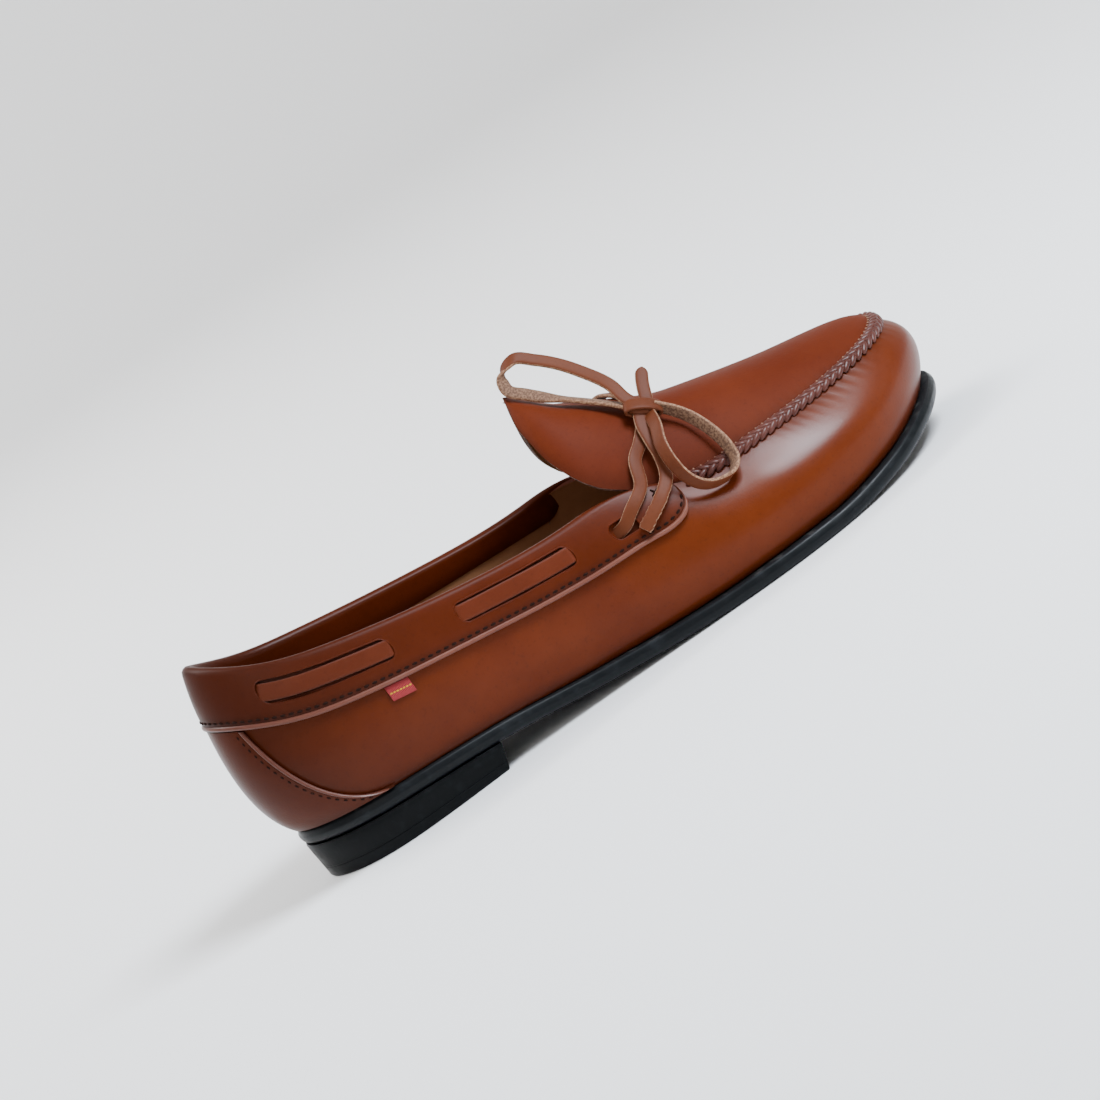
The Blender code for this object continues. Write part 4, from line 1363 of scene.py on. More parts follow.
@dataclass
class Apron:
    """Plug over the toes and its free tongue flap."""

    seam_stations: int = 150
    flap_stations: int = 60
    across: int = 72
    pucker_depth: float = 0.07
    pucker_inset: float = 2.0
    pucker_reach: float = 2.5
    pucker_fade: Span = (0.35, 0.95)
    dent_depth: float = -0.5
    dent_place: Span = (0.74, -0.62)
    dent_reach: Span = (0.05, 0.12)
    edge_bulge: float = 0.25

    def build(self) -> None:
        """Builds the plug: leather above, lining below, a raw cut edge on the flap."""
        ring = 2 * self.across + 4
        stations = self.seam_stations + self.flap_stations
        throat_share = self.seam_stations / stations

        def layer_of(turn: Array) -> tuple[Array, Array]:
            """Place across the plug and layer, 0 above, 0.5 on the rim and 1 below."""
            index = ring_index(turn, ring)
            above = index <= self.across
            s = np.where(above, index, 2 * self.across + 2 - index) / self.across
            is_rim = (index == self.across + 1) | (index == ring - 1)
            return np.clip(s, 0, 1) * 2 - 1, np.where(is_rim, 0.5, np.where(above, 0.0, 1.0))

        def station(along: Array) -> Array:
            """Place along the plug, 0 at the toe, 1 at the throat, 2 at the tip."""
            flap_q = 1 + (along - throat_share) / (1 - throat_share)
            return np.where(along <= throat_share, along / throat_share, flap_q)

        def place(along: Array, turn: Array) -> Array:
            """Point of the plug's surface."""
            s, layer = layer_of(turn)
            q = station(along)
            end = np.where(s < 0, FORM.throat_l, FORM.throat_m)
            rim_u = FORM.toe_tip + (end - FORM.toe_tip) * np.clip(q, 0, 1)
            on_seam = (np.abs(s) > 0.999) & (q <= 1.0001)
            rim = FORM.wall_normal(rim_u, np.ones_like(rim_u))
            normal = np.where(on_seam[:, None], rim, FORM.apron_normal(q, s))
            lift = self.relief(q, s, np.abs(rim_u - FORM.toe_tip)) * (layer < 0.25)
            spot = FORM.apron(q, s) + normal * (lift - FORM.apron_thick * layer)[:, None]
            bulge = self.edge_bulge * (layer == 0.5) * (~on_seam) * np.clip((1.97 - q) / 0.1, 0, 1)
            return spot + unit(FORM.apron(q, s) - FORM.apron(q, s * 0.96)) * bulge[:, None]

        def burnish(along: Array, turn: Array) -> Array:
            """Painted shade along the seam under the plait and on the underside, and darker around the flap's
            tip edge.
            """
            s, layer = layer_of(turn)
            # Painted shade: darker along the seam under the plait, and under the plug.
            seam = 0.5 * bell((1 - np.abs(s)), 0.07)
            return np.where(layer > 0.25, 0.2, seam + 0.25 * bell(station(along) - 2.0, 0.12))

        marks = {"burnish": burnish, "layer": lambda along, turn: layer_of(turn)[1] * 2}
        bm = grid_mesh(stations, ring, place, marks, fill=False)
        paint_faces(bm, "layer", lambda mean: 0 if mean < 0.3 else 1 if mean > 1.7 else 2)
        add_piece("apron_plug", bm, (APRON_HIDE, LINING, CUT_EDGE), ("apron",), 1.2)

    def relief(self, q: Array, s: Array, from_toe: Array) -> Array:
        """Puckers beside the seam and the dent that the bow presses in.

        Args:
            q: 0 at the toe, 1 at the throat, 2 at the flap's tip.
            s: -1 at the outer edge, 1 at the inner edge.
            from_toe: distance of the seam's place from the toe along the foot line.

        Returns:
            Heights in millimetres.
        """
        half_width = np.linalg.norm(FORM.apron(q, 0.5) - FORM.apron(q, -0.5), axis=-1)
        inset = (1 - np.abs(s)) * np.maximum(half_width, 1.0)
        near_toe = (1 - smooth_step(*self.pucker_fade, q)) * smooth_step(0.0, 0.05, q)
        near_seam = bell(inset - self.pucker_inset, self.pucker_reach)
        puckers = self.pucker_depth * near_toe * pucker_wave(from_toe) * near_seam
        along = bell(q - self.dent_place[0], self.dent_reach[0])
        return puckers + self.dent_depth * along * bell(s - self.dent_place[1], self.dent_reach[1])


@dataclass
class PlaitSeam:
    """Raised two-strand plait over the joint of wall and apron, with its stitches."""

    pitch: float = 3.9
    leaf_half: Triple = (2.95, 1.15, 0.8)
    leaf_facets: int = 10
    lean_deg: float = 30.0
    tilt: float = 0.22
    nose_up: float = 0.14
    spread: float = 1.2
    leaf_lift: float = 0.75
    core_radius: float = 1.5
    core_lift: float = 0.2
    end_overlap: float = 1.0
    stitch_pitch: float = 3.1
    stitch_half: Triple = (0.62, 0.4, 0.32)
    stitch_inset: float = 2.85
    stitch_lift: float = 0.55
    stitch_dip: float = 0.35
    finish_run: float = 3.0
    start: float = field(init=False)
    end: float = field(init=False)

    def __post_init__(self) -> None:
        """Works out where the plait starts and ends on the foot line."""
        self.start, self.end = FORM.vamp_l - self.end_overlap, FORM.vamp_m + self.end_overlap

    def line(self, u: Array) -> Array:
        """Middle of the seam at its seat."""
        centre, _, _, face = FORM.seam_frame(u)
        return centre + face * (FORM.seam_seat + 0.4)

    def build(self) -> None:
        """Builds the plait's leaves on a dark core, and the pale stitches beside it."""
        self.build_core()
        self.build_leaves()
        self.build_stitches()

    def build_core(self) -> None:
        """Builds the round core that closes the joint below the plait."""

        def place(along: Array, turn: Array) -> Array:
            """Point of the core's surface."""
            centre, _, side, face = FORM.seam_frame(self.start + (self.end - self.start) * along)
            angle = turn * 2 * np.pi
            slim = np.minimum(1.0, 0.25 + 12 * np.minimum(along, 1 - along))
            flat = np.cos(angle) * 1.25 * self.core_radius * slim
            rise = FORM.seam_seat + self.core_lift + np.sin(angle) * 0.75 * self.core_radius * slim
            return centre + side * flat[:, None] + face * rise[:, None]

        bm = grid_mesh(240, 10, place)
        add_piece("plait_core", bm, (PLAIT_HIDE,), ("apron_seam",))

    def build_leaves(self) -> None:
        """Builds the crossing turns of the two strands."""
        bm = bmesh.new()
        lean = math.radians(self.lean_deg)
        places = even_places(self.line, self.start, self.end, self.pitch)
        for strand, sign in enumerate((-1.0, 1.0)):
            shift = (places[1] - places[0]) * 0.5 * strand
            leaves = FORM.seam_frame(np.clip(places + shift, self.start, self.end))
            for centre, run, side, face in zip(*leaves):
                up = unit(face + side * sign * self.tilt)
                ahead = run * math.cos(lean) - side * sign * math.sin(lean)
                ahead = unit(ahead - up * ahead.dot(up) + up * self.nose_up)
                axes = np.array([ahead, np.cross(up, ahead), up])
                spot = centre + side * sign * self.spread + face * (FORM.seam_seat + self.leaf_lift)
                add_bead(bm, spot, axes, self.leaf_half, self.leaf_facets)
        add_piece("plait_strands", bm, (PLAIT_HIDE,))

    def build_stitches(self) -> None:
        """Builds the small pale stitches on the apron's side of the plait."""
        bm = bmesh.new()
        start, end = self.start + self.finish_run, self.end - self.finish_run
        stitches = FORM.seam_frame(even_places(self.line, start, end, self.stitch_pitch))
        for centre, run, side, face in zip(*stitches):
            spot = centre + side * self.stitch_inset + face * self.stitch_lift
            axes = np.array([unit(side - face * self.stitch_dip), run, face])
            add_bead(bm, spot, axes, self.stitch_half)
        add_piece("plait_stitches", bm, (PALE_THREAD,))


@dataclass
class CollarBand:
    """Folded band around the topline with windows, piping and stitches."""

    seat: float = 0.35
    thick: float = 1.5
    turn_in: float = 9.0
    roll_rise: float = 1.3
    fold_short: float = 3.0
    fold_run: float = 22.0
    face_points: int = 7
    roll_points: int = 6
    plain_points: int = 13
    piping_radius: float = 0.72
    piping_inset: float = 0.55
    piping_lift: float = 1.4
    stitch_pitch: float = 3.0
    stitch_half: Triple = (1.05, 0.5, 0.32)
    stitch_rise: float = 2.25
    stitch_lift: float = 0.22
    stitch_short: float = 1.2
    tack_half: Triple = (2.3, 0.5, 0.55)
    tack_drop: float = 2.6
    tack_shift: float = 3.0
    rim_radius: float = 0.26
    rim_points: int = 96
    cut_depth: Span = (-0.6, 4.4)

    def fold_at(self, u: Array) -> Array:
        """How far the band is folded over the topline: fully, but not beside the throat."""
        front_l = FORM.throat_l - self.fold_short
        front_m = FORM.throat_m - FORM.girth + self.fold_short
        outer = 1 - smooth_step(front_l - self.fold_run, front_l, u)
        return np.minimum(outer, smooth_step(front_m, front_m + self.fold_run, u))

    def section(self, u: Array, index: Array) -> tuple[Array, Array]:
        """Places of the band's section, from its lower edge over the topline to its inside.

        Args:
            u: places along the band.
            index: numbers of the points on the section's ring.

        Returns:
            Drop below the topline and lift from the wall for each point.
        """
        fold, height = self.fold_at(u), FORM.band_drop(u)
        out = self.seat + self.thick
        inside = 0.25 * (1 - fold) - (FORM.wall_thick + 1.1) * fold
        under = 0.15 * (1 - fold) - (FORM.wall_thick + 0.15) * fold
        rise = 0.35 * (1 - fold) + self.roll_rise * fold
        depth = np.maximum(self.turn_in * fold, 0.05)
        zero = np.zeros_like(height)
        rows = [(height, zero + self.seat), (height - 0.1, zero + out - 0.45), (height - 0.7, zero + out)]
        for t in np.linspace(0, 1, self.face_points + 2)[1:-1]:
            rows.append(((height - 0.7) * (1 - t) + 0.6 * t, out + 0.3 * math.sin(math.pi * t) + zero))
        rows += [(zero + 0.6, zero + out)]
        for t in np.linspace(0, np.pi, self.roll_points + 2)[1:-1]:
            mix = (1 - math.cos(t)) / 2
            rows.append((-rise * math.sin(t) + 0.4 * (1 - math.sin(t)), out * (1 - mix) + inside * mix))
        rows += [(0.6 * fold, inside), (depth * 0.5, inside), (depth * 0.92, inside + 0.2 * fold)]
        rows += [(depth, under), (depth * 0.5, under), (zero - 0.12 * fold, under)]
        rows += [(zero - 0.12, zero + 0.15), (height * 0.5, zero + 0.15), (height - 0.3, zero + 0.15)]
        drops, lifts = np.array([row[0] for row in rows]), np.array([row[1] for row in rows])
        spots = np.arange(len(u))
        return drops[index, spots], lifts[index, spots]

    def build(self) -> None:
        """Builds the band, its piping, window rims and stitches."""
        self.build_band()
        self.build_piping()
        self.build_rims()
        self.build_stitches()

    def build_band(self) -> None:
        """Builds the folded band and cuts its windows."""
        places = FORM.band_places(250, 22)
        count = self.plain_points + self.face_points + self.roll_points
        roll_start = self.face_points + 4

        def place(along: Array, turn: Array) -> Array:
            """Point of the band's surface."""
            u = places[np.rint(along * (len(places) - 1)).astype(int)]
            return FORM.on_band(u, *self.section(u, ring_index(turn, count)))

        def burnish(_along: Array, turn: Array) -> Array:
            """Painted shade along the lower edge under the piping, and a darker fold along the topline."""
            index = ring_index(turn, count)
            on_roll = (index >= roll_start) & (index < roll_start + self.roll_points)
            # Painted shade on the lower edge rows under the piping; the fold is darker too.
            return np.where(index <= 3, 0.45, np.where(on_roll, 0.3, 0.08))

        bm = grid_mesh(len(places) - 1, count, place, {"burnish": burnish})
        band = add_piece("collar_band_fold", bm, (BAND_HIDE,), ("collar_band",), 1.0)
        cutters = [self.cutter(window, side) for window in WINDOWS for side in Side]
        for cutter in cutters:
            cut = band.modifiers.new("window", "BOOLEAN")
            cut.operation = "DIFFERENCE"
            cut.solver = "EXACT"
            cut.object = cutter
        shown = band.evaluated_get(bpy.context.evaluated_depsgraph_get())
        opened = bpy.data.meshes.new_from_object(shown)
        band.modifiers.clear()
        band.data = opened
        opened.name = band.name
        for cutter in cutters:
            bpy.data.objects.remove(cutter, do_unlink=True)

    def cutter(self, window: Window, side: Side) -> bpy.types.Object:
        """Solid that cuts one window from the band.

        Args:
            window: the window.
            side: side of the foot that it is on.

        Returns:
            Object of the solid.
        """
        reach = window.half_height
        round_end = reach * (1 - np.cos(np.linspace(0.02, np.pi / 2, 9)))[:-1]
        middle = np.linspace(window.start + reach, window.end - reach, 15)
        places = np.concatenate([window.start + round_end, middle, (window.end - round_end)[::-1]])
        low, high = self.cut_depth
        corners = np.array([(-1.0, low), (1.0, low), (1.0, high), (-1.0, high)])

        def place(along: Array, turn: Array) -> Array:
            """Point of the solid's surface."""
            u = places[np.rint(along * (len(places) - 1)).astype(int)]
            to_end = np.clip(np.minimum(u - window.start, window.end - u) / reach, 0, 1)
            half = reach * np.sqrt(1 - (1 - to_end) ** 2)
            sign, lift = corners[ring_index(turn, len(corners))].T
            return FORM.on_band(side.value * u, window.drop + sign * half, lift)

        bm = grid_mesh(len(places) - 1, len(corners), place)
        face_outward(bm)
        return new_object("cutter", bm, (BAND_HIDE,))

    def build_piping(self) -> None:
        """Builds the raised folded piping along the band's lower edge."""
        places = FORM.band_places(280, 26)

        def place(along: Array, turn: Array) -> Array:
            """Point of the piping's surface."""
            u = places[np.rint(along * (len(places) - 1)).astype(int)]
            angle = turn * 2 * np.pi
            drop = FORM.band_drop(u) - self.piping_inset + np.cos(angle) * self.piping_radius * 1.05
            lift = self.seat + self.piping_lift + np.sin(angle) * self.piping_radius
            return FORM.on_band(u, drop, lift)

        # The piping's flanks get painted shade beside its lighter crest.
        bm = grid_mesh(len(places) - 1, 12, place, {"burnish": crest_flank_shade(0.55)})
        add_piece("band_piping", bm, (HIGHLIT_PIPING_HIDE,))

    def build_rims(self) -> None:
        """Builds the thin rim around each window."""
        bm = bmesh.new()
        for window in WINDOWS:
            for side in Side:
                take_in(bm, self.rim(window, side))
        add_piece("window_rims", bm, (BAND_HIDE,))

    def rim(self, window: Window, side: Side) -> Mesh:
        """Rim of one window.

        Args:
            window: the window.
            side: side of the foot that it is on.

        Returns:
            Closed mesh.
        """
        turn = np.linspace(0, 2 * np.pi, self.rim_points, endpoint=False)
        half_run = (window.end - window.start) / 2 - window.half_height
        along = window.half_height * np.cos(turn) + np.sign(np.round(np.cos(turn), 6)) * half_run
        u = side.value * ((window.start + window.end) / 2 + along)
        drop = window.drop - window.half_height * np.sin(turn)
        middle = FORM.on_band(u, drop, np.full_like(u, self.seat + self.thick + 0.1))
        normal = FORM.band_normal(u, drop)
        across = np.cross(normal, unit(np.roll(middle, -1, axis=0) - np.roll(middle, 1, axis=0)))

        def place(along: Array, turn: Array) -> Array:
            """Point of the rim's surface."""
            index = ring_index(along, self.rim_points)
            angle = turn * 2 * np.pi
            swing = across[index] * np.cos(angle)[:, None] + normal[index] * np.sin(angle)[:, None]
            return middle[index] + swing * self.rim_radius

        return grid_mesh(self.rim_points, 8, place)

    def build_stitches(self) -> None:
        """Builds the dark stitches above the piping and the cross tacks at the throat."""
        start, end = FORM.band_ends()
        lift = self.seat + self.thick + self.stitch_lift

        def line(u: Array) -> Array:
            """Stitch line above the piping."""
            return FORM.on_band(u, FORM.band_drop(u) - self.stitch_rise, np.full_like(u, lift))

        bm = bmesh.new()
        u = even_places(line, start + self.stitch_short, end - self.stitch_short, self.stitch_pitch)
        normal = FORM.band_normal(u, FORM.band_drop(u) - self.stitch_rise)
        add_stitches(bm, line(u), unit(line(u + 0.2) - line(u - 0.2)), normal, self.stitch_half)
        self.add_tack(bm, FORM.throat_l + self.tack_shift, lift)
        self.add_tack(bm, FORM.throat_m - FORM.girth - self.tack_shift, lift)
        add_piece("band_stitches", bm, (DARK_THREAD,))

    def add_tack(self, bm: Mesh, place: float, lift: float) -> None:
        """Adds one cross-shaped tack to a mesh.

        Args:
            bm: mesh to add to.
            place: place of the tack on the foot line.
            lift: how far it stands off the wall.
        """
        u = np.array(place)
        v = FORM.below_top(u, self.tack_drop)
        spot, face = FORM.skin(u, v, np.array(lift)), FORM.wall_normal(u, v)
        run = unit(FORM.wall_run(u, v))
        side = np.cross(face, run)
        arms = [unit(run + side), unit(run - side)]
        add_stitches(bm, [spot, spot], arms, [face, face], self.tack_half)


def crest_flank_shade(depth: float) -> Place:
    """Painted shade on a rolled edge's flanks, which leaves its crest lighter, as if lit from above."""
    return lambda _along, turn: depth * (1 - np.clip(np.sin(turn * 2 * np.pi), 0, 1))


@dataclass
class HeelCounter:
    """Back piece below the band with a row of stitches inside its front edges."""

    seat: float = 0.3
    thick: float = 1.1
    top_half: float = 15.0
    foot_half: float = 46.0
    foot_share: float = 0.03
    skive_run: float = 1.2
    columns: int = 150
    rows: int = 36
    stitch_pitch: float = 2.9
    stitch_inset: float = 2.5
    stitch_half: Triple = (0.8, 0.42, 0.3)
    bead_radius: float = 0.75
    bead_lift: float = 0.75
    bead_inset: float = 0.3

    def half_at(self, share: Array) -> Array:
        """Half length along the wall at a share of the height."""
        return self.foot_half + (self.top_half - self.foot_half) * np.sqrt(np.clip(share, 0, 1))

    def point(self, side: Array, share: Array, lift: Array) -> Array:
        """Point of the piece.

        Args:
            side: -1 at the inner front edge, 1 at the outer one.
            share: share of the piece's height.
            lift: how far the point stands off the wall.

        Returns:
            Places in millimetres.
        """
        u = side * self.half_at(share)
        high = FORM.below_top(u, FORM.band_height + 2 * FORM.gap)
        return FORM.skin(u, self.foot_share + (high - self.foot_share) * share, lift)

    def build(self) -> None:
        """Builds the piece with its folded front edges and its stitches."""
        self.build_back()
        self.build_edge("outer", 1.0)
        self.build_edge("inner", -1.0)
        self.build_stitches()

    def build_back(self) -> None:
        """Builds the back piece, thinned towards its front edges."""
        ring = 2 * self.rows + 2

        def place(along: Array, turn: Array) -> Array:
            """Point of the piece's surface."""
            index = ring_index(turn, ring)
            outer = index <= self.rows
            share = np.where(outer, index, ring - 1 - index) / self.rows
            side = 2 * along - 1
            rim = np.sqrt(np.clip((1 - np.abs(side)) * self.half_at(share) / self.skive_run, 0, 1))
            return self.point(side, share, np.where(outer, self.seat + self.thick * rim, 0.12))

        def burnish(along: Array, turn: Array) -> Array:
            """Painted shade along the front edges beside their folded beads and by the sole."""
            share = np.clip(ring_index(turn, ring) / self.rows, 0, 1)
            # Painted shade beside the front edges' beads and at the foot of the piece.
            return 0.5 * bell((1 - np.abs(2 * along - 1)) * 40, 2.0) + 0.4 * bell(share * 40, 4)

        bm = grid_mesh(self.columns, ring, place, {"burnish": burnish})
        add_piece("heel_counter_piece", bm, (WALL_HIDE,), ("heel_counter",), 0.9)

    def build_edge(self, name: str, sign: float) -> None:
        """Builds the raised folded edge along one front edge.

        Args:
            name: name of the side.
            sign: side of the piece, -1 inner and 1 outer.
        """

        def place(along: Array, turn: Array) -> Array:
            """Point of the folded edge's surface."""
            angle = turn * 2 * np.pi
            share = 0.01 + 0.985 * along
            inset = np.cos(angle) * self.bead_radius - self.bead_inset
            lift = self.seat + self.bead_lift + np.sin(angle) * self.bead_radius
            return self.point(sign * (1 + inset / self.half_at(share)), share, lift)

        # The folded edge's flanks get painted shade beside its lighter crest.
        bm = grid_mesh(90, 10, place, {"burnish": crest_flank_shade(0.5)})
        add_piece(f"counter_edge_{name}", bm, (HIGHLIT_PIPING_HIDE,))

    def build_stitches(self) -> None:
        """Builds a row of stitches inside each front edge."""
        bm = bmesh.new()
        for sign in (-1.0, 1.0):

            def line(share: Array, sign: float = sign) -> Array:
                """Stitch line beside one front edge."""
                side = sign * (1 - self.stitch_inset / self.half_at(share))
                return self.point(side, share, np.full_like(share, self.seat + self.thick + 0.05))

            shares = even_places(line, 0.03, 0.98, self.stitch_pitch)
            runs = unit(line(shares + 0.004) - line(shares - 0.004))
            faces = FORM.wall_normal(sign * self.half_at(shares), shares * 0.7)
            faces = unit(faces - runs * (faces * runs).sum(axis=-1, keepdims=True))
            add_stitches(bm, line(shares), runs, faces, self.stitch_half)
        add_piece("counter_stitches", bm, (DARK_THREAD,))


@dataclass
class LaceRun:
    """The flat lace where it shows: in the band's windows and across the instep."""

    seat: float = 0.47
    overrun: float = 1.5
    dive_run: Span = (0.5, 3.0)
    dive_depth: float = 1.6
    rise: float = 0.1
    sway: float = 0.072
    sway_waves: float = 9.0
    inner_shift: float = 5.0
    shift_start: float = 158.0
    shift_run: float = 6.0

    def build(self) -> None:
        """Builds the four bars and the front run."""
        for window in WINDOWS:
            if window.has_bar:
                for side in Side:
                    self.build_bar(window, side)
        self.build_front()

    def build_bar(self, window: Window, side: Side) -> None:
        """Builds one bar that dips below the band at both ends of its window.

        Args:
            window: the window that it shows in.
            side: side of the foot that it is on.
        """
        start, end = side.value * (window.start - self.overrun), side.value * (window.end + self.overrun)

        def centre(share: Array) -> Array:
            """Middle of the lace along the window."""
            to_end = np.minimum(share, 1 - share) * abs(end - start)
            sink = self.dive_depth * (1 - smooth_step(*self.dive_run, to_end))
            drop = window.drop - self.rise + self.sway * np.sin(self.sway_waves * share + window.start)
            return FORM.on_band(start + (end - start) * share, drop, self.seat + BAR_RIBBON.thick / 2 - sink)

        name = f"{side.name.lower()}_{window.name}"
        bm = BAR_RIBBON.sweep(
            centre, lambda share: FORM.band_normal(start + (end - start) * share, window.drop), 90)
        add_piece(f"lace_in_window_{name}", bm, BAR_FINISHES, (f"lace_bar_{name}",))

    def exit_rows(self, side: Side) -> tuple[LaceRow, ...]:
        """Rows that bring the lace up out of its exit hole.

        Args:
            side: side of the foot that the hole is on.

        Returns:
            Rows from the hidden end upward.
        """
        shift = 0.0 if side is Side.OUTER else self.inner_shift
        rows = []
        for u, drop, lift in LACE_EXIT:
            place = side.value * (u + shift * (u - self.shift_start) / self.shift_run)
            rows.append(LaceRow(Surface.WALL, place, drop, lift))
        return tuple(rows)

    def rows(self) -> tuple[Array, Array]:
        """Front run, with both its hidden tucked ends.

        Returns:
            Places of the lace's middle and the outward direction at each.
        """
        places, faces = [], []
        for row in self.exit_rows(Side.OUTER) + LACE_FRONT + self.exit_rows(Side.INNER)[::-1]:
            along, across = np.array(float(row.along)), np.array(float(row.across))
            if row.surface is Surface.WALL:
                v = FORM.below_top(along, across)
                place, face = FORM.wall(along, v), FORM.wall_normal(along, v)
            else:
                place, face = FORM.apron(along, across), FORM.apron_normal(along, across)
            places.append(place + face * (row.lift + RIBBON.thick / 2))
            faces.append(face)
        return np.array(places), np.array(faces)

    def build_front(self) -> None:
        """Builds the run from one exit hole under the knot to the other."""
        places, faces = self.rows()
        steps = np.concatenate([[0.0], np.cumsum(np.linalg.norm(np.diff(places, axis=0), axis=1))])
        tracks = [steady_spline(steps / steps[-1], faces[:, i]) for i in range(3)]
        bm = RIBBON.sweep(
            route_curve(places), lambda share: np.stack([track(share) for track in tracks], axis=-1), 220)
        add_piece("lace_over_instep", bm, LACE_FINISHES, ("lace_front",))


@dataclass(frozen=True)
class Twist:
    """Turn of a lace about its own run, and the shares of its length where it starts and is full."""

    degrees: float
    start: float
    full: float


def steady_face(direction: Sequence[float]) -> Curve:
    """Face of a strip that looks the same way all along."""
    return lambda share: np.broadcast_to(np.asarray(direction, float), (*np.shape(share), 3))


@dataclass
class Bow:
    """Knot, two loops and two ends of the lace."""

    knot_place: Triple = (38.2, -25.5, 72.2)
    knot_run: Triple = (0.82, -0.18, -0.55)
    knot_face: Triple = (0.33, -0.62, 0.71)
    core_half: Triple = (6.0, 3.6, 2.1)
    core_facets: int = 20
    wrap_half: Span = (6.3, 2.0)
    wrap_flatness: float = 0.4
    far_roots: tuple[Triple, Triple] = ((37.4, -24.4, 74.4), (35.2, -22.4, 74.6))
    far_width_way: Triple = (-0.757, -0.444, -0.486)
    far_twist: Twist = Twist(-45.0, 0.66, 0.8)
    near_roots: tuple[Triple, Triple] = ((41.6, -26.0, 70.6), (38.2, -28.2, 69.6))
    near_width_way: Triple = (0.62, -0.705, 0.355)
    near_twist: Twist = Twist(22.0, 0.62, 0.8)
    long_root: Triple = (35.6, -26.6, 71.4)
    long_face: Triple = (0.1, -0.82, 0.56)
    short_root: Triple = (40.2, -23.8, 71.8)
    short_face: Triple = (0.1, -0.75, 0.6)
    short_round: float = 0.18
    cord_points: int = 40

    def build(self) -> None:
        """Builds the knot, then the cords that leave it."""
        self.build_knot()
        far = (self.far_roots[0], *FAR_LOOP, self.far_roots[1])
        near = (self.near_roots[0], *NEAR_LOOP, self.near_roots[1])
        self.build_loop("far", far, self.far_width_way, self.far_twist)
        self.build_loop("near", near, self.near_width_way, self.near_twist)
        self.build_long_end()

    def declare(self, piece: bpy.types.Object, centre: Curve) -> None:
        """Logs the length of a piece that is a free stretch of the lace.

        Args:
            piece: the piece.
            centre: function from a share 0 to 1 to the route's places.
        """
        points = metres(centre(np.linspace(0, 1, self.cord_points)))
        length = float(np.linalg.norm(np.diff(points, axis=0), axis=1).sum())
        LOG.info("%s: %.1f mm of lace", piece.name, length / MM)

    def build_loop(self, name: str, route: Sequence[Sequence[float]], width_way: Sequence[float],
                   twist: Twist) -> None:
        """Builds one loop whose flesh side looks into the loop.

        Args:
            name: which of the two loops it is.
            route: places that the loop passes through.
            width_way: direction of the lace's width.
            twist: turn of the lace on its way back to the knot.
        """
        centre = route_curve(route)
        way = np.asarray(width_way, float)
        top = np.array([0.5])
        from_middle = centre(top)[0] - np.mean(np.asarray(route), axis=0)
        sign = 1.0 if np.cross(run_of(centre, top)[0], way).dot(from_middle) > 0 else -1.0

        def face(share: Array) -> Array:
            """Direction that points out of the loop."""
            run = run_of(centre, share)
            out = unit(np.cross(run, way)) * sign
            turn = np.radians(twist.degrees * smooth_step(twist.start, twist.full, share))[..., None]
            return out * np.cos(turn) + np.cross(run, out) * np.sin(turn)

        bm = RIBBON.sweep(centre, face, 150)
        piece = add_piece(f"bow_loop_{name}", bm, LACE_FINISHES, (f"lace_loop_{name}",))
        self.declare(piece, centre)

    def build_long_end(self) -> None:
        """Builds the long free end with its ragged tip."""
        centre = route_curve((self.long_root, *LONG_END))

        def ragged(share: Array) -> Array:
            """Width that frays towards the tip."""
            fray = 0.04 * np.sin(share * 61) + 0.05 * np.sin(share * 143 + 1.0)
            return 1 + fray * smooth_step(0.4, 0.95, share)

        bm = RIBBON.sweep(centre, steady_face(self.long_face), 140, ragged)
        piece = add_piece("bow_end_long", bm, LACE_FINISHES, ("lace_end_long",))
        self.declare(piece, centre)

    def build_knot(self) -> None:
        """Builds the knot: a wrapped turn of lace over its bundle, and the short end above it."""
        place = np.array(self.knot_place)
        run, face = unit(np.array(self.knot_run)), np.array(self.knot_face)
        face = unit(face - run * face.dot(run))

        def wrap_centre(share: Array) -> Array:
            """Middle of the wrapped turn, an oval around the bundle."""
            angle = share[..., None] * 2 * np.pi
            return place + np.cos(angle) * self.wrap_half[0] * run + np.sin(angle) * self.wrap_half[1] * face

        def wrap_face(share: Array) -> Array:
            """Direction that points out of the turn."""
            angle = share[..., None] * 2 * np.pi
            return np.cos(angle) * run * self.wrap_flatness + np.sin(angle) * face

        def round_tip(share: Array) -> Array:
            """Width that closes to the short end's rounded tip."""
            past = np.clip(share - (1 - self.short_round), 0, 1) / self.short_round
            return np.sqrt(np.clip(1 - past**2, 0.04, 1))

        bm = WRAP_RIBBON.sweep(wrap_centre, wrap_face, 72)
        for each in bm.faces:
            each.material_index = 0
        core = bmesh.new()
        add_bead(core, place, np.array([run, np.cross(face, run), face]), self.core_half, self.core_facets)
        take_in(bm, core)
        short = route_curve((self.short_root, *SHORT_END))
        take_in(bm, RIBBON.sweep(short, steady_face(self.short_face), 50, round_tip))
        add_piece("bow_knot", bm, LACE_FINISHES, ("lace_knot", "lace_end_short"))


